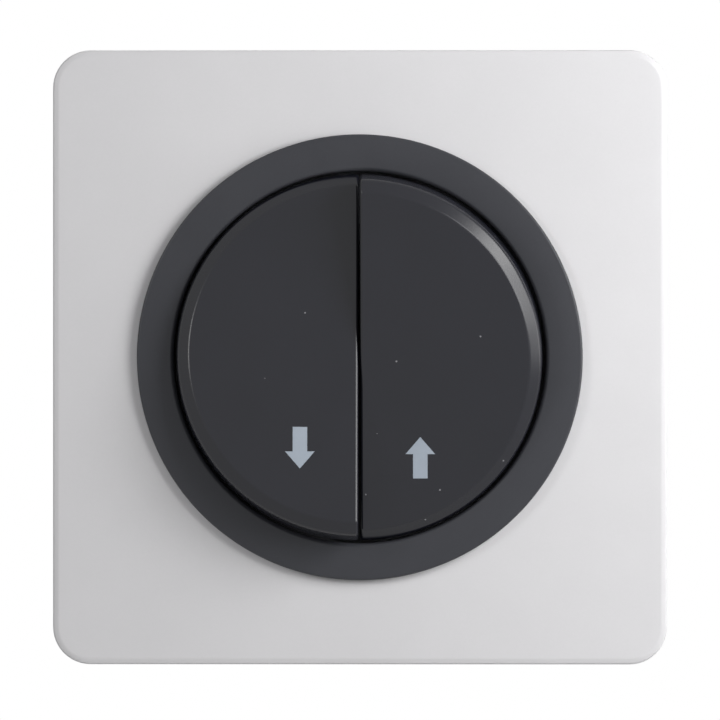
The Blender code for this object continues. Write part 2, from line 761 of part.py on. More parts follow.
def add_plunger(shop, name, pivot):
    """The plunger: a pin with a round tip and a spigot that guides its spring."""
    head = PLUNGER_REACH - PLUNGER_LENGTH
    radius = BORE_RADIUS - PLUNGER_GAP
    profile = rounded(
        [
            (0, -head + SPIGOT_LENGTH, 0),
            (SPIGOT_RADIUS, -head + SPIGOT_LENGTH, 0),
            (SPIGOT_RADIUS, -head, 0),
            (radius, -head, 0),
            (radius, -PLUNGER_REACH, radius - PLUNGER_GAP),
            (0, -PLUNGER_REACH, 0),
        ],
        closed=False,
    )
    plunger = shop.turned(f"plunger_{name}", profile, ROD_STEPS)
    plunger.rotation_euler = FACING_ROOM
    shop.keep(plunger, "brass", pivot)
    smooth(plunger)


def add_spring(shop, name, pivot):
    """The coil spring between the end of the stem's bore and the plunger's head."""
    radius = BORE_RADIUS - PLUNGER_GAP - SPRING_WIRE / 2
    start = BORE_START + SEAT_GAP + SPRING_WIRE / 2
    end = PLUNGER_REACH - PLUNGER_LENGTH - SEAT_GAP - SPRING_WIRE / 2
    count = round(SPRING_TURNS * COIL_STEPS)
    curve = bpy.data.curves.new(f"plunger_spring_{name}", "CURVE")
    curve.dimensions = "3D"
    curve.bevel_depth = SPRING_WIRE / 2
    curve.bevel_resolution = 1
    curve.use_fill_caps = True
    spline = curve.splines.new("POLY")
    spline.points.add(count)
    for i, point in enumerate(spline.points):
        share = i / count
        turn = 2 * pi * SPRING_TURNS * share
        point.co = (radius * cos(turn), start + (end - start) * share, radius * sin(turn), 1)
    spring = shop.helper(f"plunger_spring_{name}", curve)
    shop.keep(spring, "steel", pivot)


def add_seesaw(shop, name, pivot):
    """The contact arm: a strip that rocks on a bead, with a rivet at each end."""
    end = ARM + ARM_END
    bead = arc((0, 0), BEAD_RADIUS, -pi / 2, pi / 2, BEAD_STEPS)
    outline = [(-SHEET, -end), (0, -end), *bead, (0, end), (-SHEET, end)]
    arm = shop.section(f"seesaw_{name}", [outline], (-HALF_WIDTH, HALF_WIDTH))
    shop.keep(arm, "brass", pivot)
    for place, z in (("work", ARM), ("rest", -ARM)):
        hole = shop.bore_at(
            f"seesaw_hole_{name}_{place}", SHANK_RADIUS + SHANK_GAP, 0, z, (-2 * SHEET, SHEET), SMALL_STEPS
        )
        cut(arm, hole)
        rivet = shop.turned(f"moving_contact_{name}_{place}", rivet_profile(dome=True), SMALL_STEPS)
        rivet.rotation_euler = (-pi / 2, 0, 0)
        rivet.location.z = z
        shop.keep(rivet, "silver", pivot)
        smooth(rivet)


def rivet_profile(dome):
    """A rivet through a strip, from its head at the top to its closed tail."""
    neck = (SHANK_RADIUS, SHANK_GAP)
    tail = -SHEET - SHANK_GAP
    if dome:
        rise = DOME_RADIUS - RIVET_DOME
        start = atan2(SHANK_GAP + rise, sqrt(DOME_RADIUS**2 - (SHANK_GAP + rise) ** 2))
        head = arc((0, -rise), DOME_RADIUS, pi / 2, start, FILLET_STEPS)
        head[0] = (0, RIVET_DOME)
    else:
        head = [(0, RIVET_FLAT), (RIVET_RADIUS, RIVET_FLAT), (RIVET_RADIUS, SHANK_GAP)]
    return [
        *head,
        neck,
        (SHANK_RADIUS, tail),
        (TAIL_RADIUS, tail),
        (SHANK_RADIUS, tail - RIVET_TAIL),
        (0, tail - RIVET_TAIL),
    ]


def add_fixed_contact(shop, name, x, z):
    """A flat-headed rivet on a fixed strip, with its head towards the room."""
    rivet = shop.turned(f"fixed_contact_{name}", rivet_profile(dome=False), SMALL_STEPS)
    rivet.rotation_euler = FACING_ROOM
    rivet.location = (x, STRIP_FRONT, z)
    shop.keep(rivet, "silver")
    smooth(rivet)


def strip_hole(shop, name, x, z):
    """The hole that a fixed rivet's shank goes through."""
    reach = (STRIP_FRONT - SHEET, STRIP_BACK + SHEET)
    return shop.bore_at(f"strip_hole_{name}", SHANK_RADIUS + SHANK_GAP, x, z, reach, SMALL_STEPS)


def cradle_outline(back):
    """The block with a round groove that a contact arm's bead rocks in, as a (y, z) section."""
    depth = CRADLE_FRONT - ARM_Y
    mouth = sqrt(GROOVE_RADIUS**2 - depth**2)
    swing = atan2(mouth, depth)
    groove = arc((ARM_Y, 0), GROOVE_RADIUS, -swing, swing, BEAD_STEPS)
    low = [(back, -CRADLE_HALF), (CRADLE_FRONT, -CRADLE_HALF)]
    high = [(CRADLE_FRONT, CRADLE_HALF), (back, CRADLE_HALF)]
    return low + groove + high


def add_contact_strip(shop, name, side):
    """The strip under a working contact, bent back to lie against its terminal."""
    x = side * POLE_OFFSET
    start = ARM - ARM_END
    outline = [
        (STRIP_FRONT, start),
        (STRIP_FRONT, TAB_Z + SHEET),
        (STRIP_BACK + TAB_LENGTH, TAB_Z + SHEET),
        (STRIP_BACK + TAB_LENGTH, TAB_Z),
        (STRIP_BACK, TAB_Z),
        (STRIP_BACK, start),
    ]
    strip = shop.section(f"contact_strip_{name}", [outline], (x - HALF_WIDTH, x + HALF_WIDTH))
    shop.keep(strip, "brass")
    cut(strip, strip_hole(shop, f"{name}_work", x, ARM))
    add_fixed_contact(shop, f"{name}_work", x, ARM)


def add_supply_strip(shop):
    """From the supply terminal up to the cradle of the down contact arm, in one bent strip."""
    x = LEFT * POLE_OFFSET
    run_back = SUPPLY_RUN_BACK
    run_front = run_back - SHEET
    outline = cradle_outline(STRIP_BACK)
    leg = [
        (STRIP_BACK, CRADLE_HALF),
        (STRIP_BACK, -CRADLE_HALF + SHEET),
        (run_back, -CRADLE_HALF + SHEET),
        (run_back, -TAB_Z - SHEET),
        (run_back - TAB_LENGTH, -TAB_Z - SHEET),
        (run_back - TAB_LENGTH, -TAB_Z),
        (run_front, -TAB_Z),
        (run_front, -CRADLE_HALF),
    ]
    strip = shop.section("supply_strip", [outline[:-1] + leg], (x - HALF_WIDTH, x + HALF_WIDTH))
    shop.keep(strip, "brass")


def add_link_strip(shop):
    """From the down rest contact across to the cradle of the up contact arm: the interlock."""
    x = POLE_OFFSET
    left = -x - HALF_WIDTH - LINK_OVERHANG
    low, high = -ARM - ARM_END, -ARM + ARM_END
    plan = [
        (left, low),
        (x + HALF_WIDTH, low),
        (x + HALF_WIDTH, CRADLE_HALF),
        (x - HALF_WIDTH, CRADLE_HALF),
        (x - HALF_WIDTH, high),
        (left, high),
    ]
    strip = shop.plan("link_strip", [plan], (STRIP_FRONT, STRIP_BACK))
    shop.keep(strip, "brass")
    across = (x - HALF_WIDTH, x + HALF_WIDTH)
    join(strip, shop.section("link_cradle", [cradle_outline(STRIP_FRONT + BITE)], across))
    for name, side in SIDES.items():
        cut(strip, strip_hole(shop, f"{name}_rest", side * x, -ARM))
        add_fixed_contact(shop, f"{name}_rest", side * x, -ARM)


def terminal_places():
    """Name, x and the sign of z for each terminal."""
    working = [(name, side * POLE_OFFSET, 1) for name, side in SIDES.items()]
    return working + [("supply", LEFT * POLE_OFFSET, -1)]


def add_terminals(shop):
    """Three brass blocks, each with a wire hole from the back and a screw from the side."""
    screw_y = TERMINAL_MIDDLE_Y
    through = (TERMINAL_FRONT - BITE, TERMINAL_BACK + BITE)
    for name, x, sign in terminal_places():
        block = shop.box(
            f"terminal_{name}",
            (x - TERMINAL_WIDTH / 2, x + TERMINAL_WIDTH / 2),
            (TERMINAL_FRONT, TERMINAL_BACK),
            sorted((sign * TERMINAL_Z, sign * TERMINAL_TOP)),
        )
        shop.keep(block, "brass")
        wire_z = sign * WIRE_Z
        mouth = (x, screw_y, sign * (TERMINAL_TOP + BITE))
        thread = TERMINAL_SCREW_RADIUS + SLIDE_GAP
        cut(
            block,
            shop.bore_at(f"wire_hole_{name}", WIRE_RADIUS, x, wire_z, through),
            shop.rod(f"thread_{name}", thread, (x, screw_y, wire_z), mouth, SMALL_STEPS),
        )
        profile = [
            (0, TERMINAL_HEAD),
            (TERMINAL_HEAD_RADIUS, TERMINAL_HEAD),
            (TERMINAL_HEAD_RADIUS, 0),
            (TERMINAL_SCREW_RADIUS, 0),
            (TERMINAL_SCREW_RADIUS, -TERMINAL_HEIGHT / 2 + WIRE_RADIUS),
            (0, -TERMINAL_HEIGHT / 2 + WIRE_RADIUS),
        ]
        screw = shop.turned(f"terminal_screw_{name}", profile, SMALL_STEPS)
        screw.location = (x, screw_y, sign * (TERMINAL_TOP + SLIDE_GAP))
        screw.rotation_euler.x = 0 if sign > 0 else pi
        shop.keep(screw, "steel")
        head_top = TERMINAL_TOP + SLIDE_GAP + TERMINAL_HEAD
        slit = shop.box(
            f"terminal_slit_{name}",
            (x - TERMINAL_WIDTH, x + TERMINAL_WIDTH),
            (screw_y - SCREW_SLOT / 2, screw_y + SCREW_SLOT / 2),
            sorted((sign * (head_top - SCREW_SLOT), sign * (head_top + SCREW_SLOT))),
        )
        cut(screw, slit)
        smooth(screw)


def add_base_housing(shop):
    """The moulded base: chambers for the contact arms, channels for the strips and pockets."""
    a, b = HOUSING_HALF_WIDTH, HOUSING_HALF_HEIGHT
    shoulder, top = SCREW_HEIGHT + CORNER_RISE, POLE_OFFSET + POCKET_HALF - CORNER_INSET
    corners = [(a, shoulder), (top, b), (-top, b), (-a, shoulder)]
    corners += [(-p, -q) for p, q in corners]
    outline = rounded([(p, q, HOUSING_FILLET) for p, q in corners])
    base = shop.plan("base_housing", [outline], (HOUSING_FRONT, HOUSING_BACK))
    shop.keep(base, "housing")
    open_front = HOUSING_FRONT - BITE
    room = HALF_WIDTH + SLIDE_GAP
    reach = ARM + ARM_END + SLIDE_GAP
    relief = (STRIP_FRONT, STRIP_BACK + SHANK_GAP + RIVET_TAIL + SLIDE_GAP)
    x = POLE_OFFSET
    for name, side in SIDES.items():
        cut(
            base,
            shop.box(
                f"chamber_{name}",
                (side * x - CHAMBER_HALF, side * x + CHAMBER_HALF),
                (open_front, FLOOR),
                (-reach, TERMINAL_Z + SLIDE_GAP),
            ),
            shop.box(
                f"tab_channel_{name}",
                (side * x - room, side * x + room),
                (STRIP_FRONT, STRIP_BACK + TAB_LENGTH + SLIDE_GAP),
                (TAB_Z - SLIDE_GAP, TERMINAL_Z + SLIDE_GAP),
            ),
        )
        for place, z in (("work", ARM), ("rest", -ARM)):
            radius = TAIL_RADIUS + SLIDE_GAP
            cut(base, shop.bore_at(f"{place}_relief_{name}", radius, side * x, z, relief, SMALL_STEPS))
    left = -x - HALF_WIDTH - LINK_OVERHANG - SLIDE_GAP
    cut(
        base,
        shop.box(
            "link_channel",
            (left, x + HALF_WIDTH),
            (open_front, FLOOR),
            (-ARM - ARM_END - SLIDE_GAP, -ARM + ARM_END + SLIDE_GAP),
        ),
        shop.box(
            "supply_channel",
            (-x - room, -x + room),
            (STRIP_FRONT, SUPPLY_RUN_BACK + SEAT_GAP),
            (-TERMINAL_Z - SLIDE_GAP, -CRADLE_HALF + SHEET + SLIDE_GAP),
        ),
    )
    for name, place, sign in terminal_places():
        cut(
            base,
            shop.box(
                f"terminal_pocket_{name}",
                (place - POCKET_HALF, place + POCKET_HALF),
                (open_front, POCKET_BACK),
                sorted((sign * TERMINAL_Z, sign * (TERMINAL_TOP + SLIDE_GAP))),
            ),
            shop.bore_at(
                f"wire_entry_{name}",
                WIRE_RADIUS + SLIDE_GAP,
                place,
                sign * WIRE_Z,
                (POCKET_BACK - BITE, HOUSING_BACK + BITE),
            ),
            shop.rod(
                f"screw_access_{name}",
                TERMINAL_HEAD_RADIUS + SLIDE_GAP,
                (place, TERMINAL_MIDDLE_Y, sign * (TERMINAL_TOP - BITE)),
                (place, TERMINAL_MIDDLE_Y, sign * (HOUSING_HALF_HEIGHT + BITE)),
            ),
        )
    hole = SCREW_RADIUS + SLIDE_GAP
    depth = (open_front, SCREW_SEAT + SCREW_LENGTH + SLIDE_GAP)
    for number, (place, z) in enumerate(screw_places(), 1):
        cut(base, shop.bore_at(f"screw_hole_{number}", hole, place, z, depth, SMALL_STEPS))
    core_depth = (FLOOR + HOUSING_WALL, HOUSING_BACK + BITE)
    core_half = HOUSING_HALF_HEIGHT - 2 * HOUSING_WALL
    for side in (LEFT, RIGHT):
        across = sorted((side * CORE_RIB / 2, side * (CORE_RIB / 2 + CORE_WIDTH)))
        for end in (LEFT, RIGHT):
            upright = sorted((end * CORE_RIB / 2, end * core_half))
            cut(base, shop.box(f"core_{side}_{end}", across, core_depth, upright))
    smooth(base)


def main():
    """Clears the scene and builds every piece."""
    for obj in list(bpy.data.objects):
        bpy.data.objects.remove(obj)
    shop = Workshop()
    add_cover_plate(shop)
    add_trim_ring(shop)
    add_support_frame(shop)
    add_mechanism_cover(shop)
    add_base_housing(shop)
    add_housing_screws(shop)
    add_supply_strip(shop)
    add_link_strip(shop)
    add_terminals(shop)
    for name, side in SIDES.items():
        x = side * POLE_OFFSET
        rocker_axis = shop.pivot(f"rocker_axis_{name}", (x, PIVOT_Y, 0), side * ROCKER_TILT)
        arm_axis = shop.pivot(f"arm_axis_{name}", (x, ARM_Y, 0), -side * ARM_TILT)
        add_rocker(shop, name, side, rocker_axis)
        add_lever(shop, name, rocker_axis)
        add_plunger(shop, name, rocker_axis)
        add_spring(shop, name, rocker_axis)
        add_seesaw(shop, name, arm_axis)
        add_contact_strip(shop, name, side)


main()
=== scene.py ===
"""The looks of a flush roller shutter switch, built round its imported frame.

Sizes are in metres. The wall is the plane y = 0, +Y goes into the wall, +Z is up, and +X is to the
right as seen from the room.
"""

import json
import logging
import math
from dataclasses import dataclass, replace
from enum import Enum
from typing import Any, Optional, Sequence

import bmesh
import bpy
from mathutils import Matrix, Vector

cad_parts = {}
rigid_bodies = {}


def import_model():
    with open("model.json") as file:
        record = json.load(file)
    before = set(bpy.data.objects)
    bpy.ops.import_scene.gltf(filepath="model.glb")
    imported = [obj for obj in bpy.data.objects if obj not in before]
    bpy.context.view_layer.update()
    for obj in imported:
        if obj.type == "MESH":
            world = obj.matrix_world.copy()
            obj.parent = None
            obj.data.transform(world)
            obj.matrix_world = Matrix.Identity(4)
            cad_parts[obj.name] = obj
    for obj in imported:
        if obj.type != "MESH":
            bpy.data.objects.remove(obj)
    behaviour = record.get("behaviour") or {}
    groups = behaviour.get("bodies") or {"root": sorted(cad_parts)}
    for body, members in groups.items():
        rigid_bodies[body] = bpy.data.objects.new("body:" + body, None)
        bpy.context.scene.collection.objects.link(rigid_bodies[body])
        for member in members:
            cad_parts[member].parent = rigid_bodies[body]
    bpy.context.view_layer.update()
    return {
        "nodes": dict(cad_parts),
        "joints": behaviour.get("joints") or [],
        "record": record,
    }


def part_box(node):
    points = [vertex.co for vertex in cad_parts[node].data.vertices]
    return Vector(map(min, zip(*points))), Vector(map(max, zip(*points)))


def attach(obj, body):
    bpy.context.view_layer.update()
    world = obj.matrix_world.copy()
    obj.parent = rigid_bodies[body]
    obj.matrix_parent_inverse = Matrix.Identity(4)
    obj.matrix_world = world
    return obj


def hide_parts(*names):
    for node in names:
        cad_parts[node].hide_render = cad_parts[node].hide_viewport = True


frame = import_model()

MM = 0.001
MERGE = 0.001 * MM
SMOOTH_ANGLE = math.radians(32)
FULL_WEIGHT = 100

# A surface's pattern: how detailed its fine and its slow part are, how much of its strength is the
# fine one's, and between which of its values the tint and the gloss run from end to end
FINE_DETAIL = 3.0
FINE_RAGGEDNESS = 0.55
SLOW_DETAIL = 2.0
FINE_SHARE = 0.35
TINT_SPAN = (0.3, 0.7)
GLOSS_SPAN = (0.25, 0.75)

# House dust, as pale flakes about a quarter of a millimetre across
DUST_RADIUS = 0.12 * MM
DUST_COLOUR = "#8B8B8F"

PURE_WHITE = "#FFFFFF"
FLOOR_PAINT = "#F4F4F4"

Point = tuple[float, float]
Loop = list[Vector]
Sockets = dict[str, bpy.types.NodeSocket]

log = logging.getLogger("roller_shutter_switch")


class Side(Enum):
    """The two rockers, with the side of the seam that each lies on."""

    DOWN = -1
    UP = 1

    @property
    def word(self) -> str:
        """The side's name as the frame's nodes and bodies spell it."""
        return self.name.lower()


class Grain(Enum):
    """The way the fine lines of a surface run, as a stretch of its pattern along X, Y and Z."""

    EVEN = (1.0, 1.0, 1.0)
    ALONG_X = (0.04, 1.0, 1.0)
    ALONG_Z = (1.0, 1.0, 0.04)


class Ends(Enum):
    """What becomes of the first and the last loop of a skin."""

    CAPPED = "capped"
    JOINED = "joined"


def linear(hex_colour: str) -> tuple[float, float, float, float]:
    """Turns an sRGB hex colour into the linear colour that a shader takes.

    Args:
        hex_colour: Six hex digits, with or without a leading hash.

    Returns:
        Linear red, green, blue and an alpha of 1.
    """
    digits = hex_colour.lstrip("#")
    channels = [int(digits[i : i + 2], 16) / 255 for i in (0, 2, 4)]
    bent = [c / 12.92 if c <= 0.04045 else ((c + 0.055) / 1.055) ** 2.4 for c in channels]
    return (*bent, 1.0)


def add_node(
    tree: bpy.types.NodeTree,
    kind: str,
    settings: Optional[dict[str, Any]] = None,
    inputs: Optional[dict[Any, Any]] = None,
) -> bpy.types.Node:
    """Adds a node to a tree, with its settings, its values and its links.

    Args:
        tree: A shader or geometry node tree.
        kind: The node's type name.
        settings: Properties of the node, by name.
        inputs: Input sockets by name or number, each with a value or the socket that feeds it.

    Returns:
        The new node.
    """
    node = tree.nodes.new(kind)
    for name, value in (settings or {}).items():
        setattr(node, name, value)
    for key, value in (inputs or {}).items():
        if isinstance(value, bpy.types.NodeSocket):
            tree.links.new(value, node.inputs[key])
        else:
            node.inputs[key].default_value = value
    return node


@dataclass(frozen=True)
class Finish:
    """What a real material is, and how its surface was made.

    Attributes:
        name: The material's common name with its making, which names the Blender material.
        slot: The record's material slot.
        colour: The colour as sRGB hex.
        shade: The same colour where the pattern is darkest.
        roughness: The mean roughness.
        roughness_spread: How far the roughness strays from that mean.
        metallic: 1 for a metal and 0 for anything else.
        ior: The index of refraction. A metal keeps the default.
        specular: The specular level, where 0.5 leaves the reflection to the index of refraction.
        grain: The size of the surface's fine pattern.
        grain_depth: How deep that pattern is.
        mottle: The size of the slow changes of tint and gloss.
        lay: The way the fine lines run.
        dust_spacing: The mean distance between specks of dust, or 0 for none.
    """

    name: str
    slot: str
    colour: str
    shade: str
    roughness: float
    roughness_spread: float
    metallic: float = 0.0
    ior: float = 1.5
    specular: float = 0.5
    grain: float = 0.3 * MM
    grain_depth: float = 0.004 * MM
    mottle: float = 12 * MM
    lay: Grain = Grain.EVEN
    dust_spacing: float = 0.0

    def material(self) -> bpy.types.Material:
        """Makes the Blender material, with its pattern on Object coordinates.

        Returns:
            The new material.
        """
        made = bpy.data.materials.new(self.name)
        made.use_nodes = True
        tree = made.node_tree
        shader = tree.nodes["Principled BSDF"]
        place = add_node(tree, "ShaderNodeTexCoord").outputs["Object"]
        stretched = add_node(
            tree,
            "ShaderNodeMapping",
            {"vector_type": "POINT"},
            {"Vector": place, "Scale": self.lay.value},
        ).outputs["Vector"]
        fine = add_node(
            tree,
            "ShaderNodeTexNoise",
            None,
            {
                "Vector": stretched,
                "Scale": 1 / self.grain,
                "Detail": FINE_DETAIL,
                "Roughness": FINE_RAGGEDNESS,
            },
        )
        slow = add_node(
            tree,
            "ShaderNodeTexNoise",
            None,
            {"Vector": place, "Scale": 1 / self.mottle, "Detail": SLOW_DETAIL},
        )
        both = add_node(
            tree,
            "ShaderNodeMix",
            {"data_type": "FLOAT"},
            {0: FINE_SHARE, 2: slow.outputs["Fac"], 3: fine.outputs["Fac"]},
        )
        tint = add_node(tree, "ShaderNodeValToRGB", None, {"Fac": both.outputs[0]})
        stops = tint.color_ramp.elements
        for stop, position, colour in zip(stops, TINT_SPAN, (self.shade, self.colour)):
            stop.position = position
            stop.color = linear(colour)
        gloss = add_node(
            tree,
            "ShaderNodeMapRange",
            None,
            {
                "Value": both.outputs[0],
                "From Min": GLOSS_SPAN[0],
                "From Max": GLOSS_SPAN[1],
                "To Min": self.roughness - self.roughness_spread,
                "To Max": self.roughness + self.roughness_spread,
            },
        )
        bump = add_node(
            tree,
            "ShaderNodeBump",
            None,
            {"Height": fine.outputs["Fac"], "Distance": self.grain_depth, "Strength": 1.0},
        )
        surface = tint.outputs["Color"]
        if self.dust_spacing:
            surface = self._dusted(tree, place, surface)
        tree.links.new(surface, shader.inputs["Base Color"])
        tree.links.new(gloss.outputs["Result"], shader.inputs["Roughness"])
        tree.links.new(bump.outputs["Normal"], shader.inputs["Normal"])
        shader.inputs["Metallic"].default_value = self.metallic
        shader.inputs["Specular IOR Level"].default_value = self.specular
        if self.metallic == 0:
            shader.inputs["IOR"].default_value = self.ior
        return made

    def _dusted(
        self, tree: bpy.types.NodeTree, place: bpy.types.NodeSocket, surface: bpy.types.NodeSocket
    ) -> bpy.types.NodeSocket:
        """Adds a few pale specks of dust to a colour.

        Args:
            tree: The material's tree.
            place: The socket with the Object coordinates.
            surface: The socket with the clean colour.

        Returns:
            The socket with the dusty colour.
        """
        cells = add_node(
            tree, "ShaderNodeTexVoronoi", None, {"Vector": place, "Scale": 1 / self.dust_spacing}
        )
        speck = add_node(
            tree,
            "ShaderNodeMath",
            {"operation": "LESS_THAN"},
            {0: cells.outputs["Distance"], 1: DUST_RADIUS / self.dust_spacing},
        )
        mixed = add_node(
            tree,
            "ShaderNodeMix",
            {"data_type": "RGBA"},
            {0: speck.outputs[0], 6: surface, 7: linear(DUST_COLOUR)},
        )
        return mixed.outputs[2]


# Injection-moulded ABS, pigmented white, from a finely blasted mould: even and satin, with a soft
# sheen. The real grain is about 0.1 mm, drawn at 0.3 mm so that it shows at all.
WHITE_ABS = Finish(
    name="abs_moulded_satin_white",
    slot="plate",
    colour="#E9E8EA",
    shade="#E5E4E6",
    roughness=0.42,
    roughness_spread=0.03,
    ior=1.53,
    grain=0.3 * MM,
    grain_depth=0.0015 * MM,
)

# Injection-moulded polycarbonate under a thin anthracite lacquer: a dark, faintly blue grey with a
# satin gloss that is close enough to turn bright on an edge which mirrors a light.
ROCKER_FINISH = Finish(
    name="polycarbonate_lacquered_anthracite",
    slot="anthracite",
    colour="#1C1D25",
    shade="#191A22",
    roughness=0.22,
    roughness_spread=0.03,
    ior=1.5,
    specular=0.4,
    grain=0.35 * MM,
    grain_depth=0.003 * MM,
    mottle=9 * MM,
    dust_spacing=4 * MM,
)

# The same lacquer on the trim ring, sprayed drier: paler and duller than on the rockers.
RING_FINISH = replace(
    ROCKER_FINISH,
    name="polycarbonate_lacquered_trim_ring",
    colour="#3D3E43",
    shade="#38393E",
    roughness=0.38,
    roughness_spread=0.04,
    specular=0.3,
    dust_spacing=0.0,
)

# Injection-moulded glass-filled polyamide for the mechanism's cover: dull and even, in a dark grey
# that keeps the deep gap round the rockers dark.
DARK_POLYAMIDE = Finish(
    name="polyamide_moulded_dark_grey",
    slot="anthracite",
    colour="#3E3F43",
    shade="#37383C",
    roughness=0.55,
    roughness_spread=0.06,
    ior=1.53,
    specular=0.3,
    grain=0.4 * MM,
    grain_depth=0.004 * MM,
    mottle=6 * MM,
)

# Pad-printed ink, pale blue grey: flat and dull, a hair thick, with the lacquer's grain showing.
PALE_INK = Finish(
    name="pad_print_ink_pale_grey",
    slot="anthracite",
    colour="#B0BAC6",
    shade="#A8B2BE",
    roughness=0.55,
    roughness_spread=0.04,
    ior=1.48,
    grain=0.35 * MM,
    grain_depth=0.002 * MM,
    mottle=3 * MM,
)

# Cold-rolled steel, stamped and then zinc plated: bright, cool, with fine rolling lines.
ZINC_PLATED_STEEL = Finish(
    name="steel_stamped_zinc_plated",
    slot="zinc",
    colour="#C9CBCF",
    shade="#B4B7BC",
    roughness=0.34,
    roughness_spread=0.07,
    metallic=1.0,
    grain=0.25 * MM,
    grain_depth=0.0015 * MM,
    lay=Grain.ALONG_X,
)

# Compression-moulded urea resin, light grey: hard and dull with slow flow marks.
UREA_RESIN = Finish(
    name="urea_resin_moulded_light_grey",
    slot="housing",
    colour="#C2C2BE",
    shade="#B3B3AF",
    roughness=0.5,
    roughness_spread=0.06,
    ior=1.55,
    grain=0.4 * MM,
    grain_depth=0.004 * MM,
    mottle=6 * MM,
)

# Injection-moulded natural acetal: waxy, off white and slightly see-through at its edges.
NATURAL_ACETAL = Finish(
    name="acetal_moulded_natural",
    slot="lever",
    colour="#E8E5DB",
    shade="#DEDBD0",
    roughness=0.36,
    roughness_spread=0.04,
    ior=1.48,
)

# Rolled brass strip, punched and bent: warm, with lines along the strip and dull patches.
ROLLED_BRASS = Finish(
    name="brass_rolled_strip",
    slot="brass",
    colour="#D9B66B",
    shade="#B9944D",
    roughness=0.3,
    roughness_spread=0.08,
    metallic=1.0,
    grain=0.2 * MM,
    grain_depth=0.0015 * MM,
    mottle=5 * MM,
    lay=Grain.ALONG_Z,
)

# Headed silver-nickel contact rivet: pale and finely turned.
CONTACT_SILVER = Finish(
    name="silver_nickel_headed",
    slot="silver",
    colour="#E8E6E1",
    shade="#CFCDC8",
    roughness=0.24,
    roughness_spread=0.05,
    metallic=1.0,
    grain=0.15 * MM,
    grain_depth=0.001 * MM,
    mottle=2 * MM,
)

# Drawn and headed steel, bright: cool grey with faint drawing marks.
BRIGHT_STEEL = replace(
    CONTACT_SILVER,
    name="steel_drawn_bright",
    slot="steel",
    colour="#B9BABD",
    shade="#9FA0A4",
    roughness=0.3,
    roughness_spread=0.06,
)

# What the frame's own pieces inside the housing are made of
INNER_FINISHES = (NATURAL_ACETAL, ROLLED_BRASS, CONTACT_SILVER, BRIGHT_STEEL)


class Palette:
    """Makes each finish once, and hands out the same material each time."""

    def __init__(self) -> None:
        """Starts with no material made."""
        self._made: dict[str, bpy.types.Material] = {}

    def get(self, finish: Finish) -> bpy.types.Material:
        """The material of a finish, made on first use.

        Args:
            finish: The finish that is wanted.

        Returns:
            Its Blender material.
        """
        if finish.name not in self._made:
            self._made[finish.name] = finish.material()
        return self._made[finish.name]


PALETTE = Palette()


def skin(bm: bmesh.types.BMesh, loops: Sequence[Loop], ends: Ends) -> None:
    """Joins neighbouring closed loops of points with quads.

    Args:
        bm: The mesh that gets the points and faces.
        loops: Loops with the same number of points.
        ends: Whether the outer two loops are filled or joined to each other.
    """
    rows = [[bm.verts.new(point) for point in loop] for loop in loops]
    count = len(rows[0])
    pairs = list(zip(rows, rows[1:]))
    if ends is Ends.JOINED:
        pairs.append((rows[-1], rows[0]))
    else:
        bm.faces.new(rows[0])
        bm.faces.new(rows[-1])
    for near, far in pairs:
        for i in range(count):
            j = (i + 1) % count
            bm.faces.new((near[i], near[j], far[j], far[i]))


def fused(piece: bpy.types.Object, *others: bpy.types.Object) -> bpy.types.Object:
    """Joins other shapes to a piece as one closed body, and removes them.

    Args:
        piece: The piece that stays.
        others: The shapes that become part of it.

    Returns:
        The same piece, with a plain mesh.
    """
    for other in others:
        union = piece.modifiers.new("Join", "BOOLEAN")
        union.operation = "UNION"
        union.object = other
        union.solver = "EXACT"
    applied(piece)
    for other in others:
        bpy.data.objects.remove(other)
    return piece


def installed(
    piece: bpy.types.Object, body: str, node: Optional[str]
) -> bpy.types.Object:
    """Lets a piece ride on its body, in place of its node.

    Args:
        piece: The finished piece.
        body: The frame's body that it rides on.
        node: The frame's node that it stands for, if any.

    Returns:
        The same piece.
    """
    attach(piece, body)
    if node:
        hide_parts(node)
    return piece


def finished(name: str, bm: bmesh.types.BMesh, finish: Finish) -> bpy.types.Object:
    """Turns a bmesh into a smooth-shaded object at the origin, with its material.

    Args:
        name: The piece's name.
        bm: The mesh, which is freed.
        finish: What the piece is made of.

    Returns:
        The new object.
    """
    bmesh.ops.remove_doubles(bm, verts=bm.verts, dist=MERGE)
    bmesh.ops.recalc_face_normals(bm, faces=bm.faces)
    mesh = bpy.data.meshes.new(name)
    bm.to_mesh(mesh)
    bm.free()
    mesh.shade_smooth()
    mesh.set_sharp_from_angle(angle=SMOOTH_ANGLE)
    mesh.materials.append(PALETTE.get(finish))
    piece = bpy.data.objects.new(name, mesh)
    bpy.context.scene.collection.objects.link(piece)
    return piece


def applied(piece: bpy.types.Object) -> bpy.types.Object:
    """Bakes a piece's modifiers into its mesh.

    Args:
        piece: An object with live modifiers.

    Returns:
        The same object, with a plain mesh and no modifiers.
    """
    depsgraph = bpy.context.evaluated_depsgraph_get()
    mesh = bpy.data.meshes.new_from_object(piece.evaluated_get(depsgraph))
    piece.modifiers.clear()
    piece.data = mesh
    return piece


def soften(piece: bpy.types.Object, width: float, steps: int = 3, limit: float = 40) -> None:
    """Rounds a piece's hard edges and keeps its flat faces flat in the shading.

    Args:
        piece: The piece, which gets a Bevel and a Weighted Normal modifier.
        width: The rounding's width.
        steps: Its number of segments.
        limit: The least angle between two faces, in degrees, whose edge is rounded.
    """
    bevel = piece.modifiers.new("Rounded edges", "BEVEL")
    bevel.width = width
    bevel.segments = steps
    bevel.limit_method = "ANGLE"
    bevel.angle_limit = math.radians(limit)
    bevel.use_clamp_overlap = True
    bevel.miter_outer = "MITER_ARC"
    weighted = piece.modifiers.new("Flat faces", "WEIGHTED_NORMAL")
    weighted.keep_sharp = True
    weighted.weight = FULL_WEIGHT


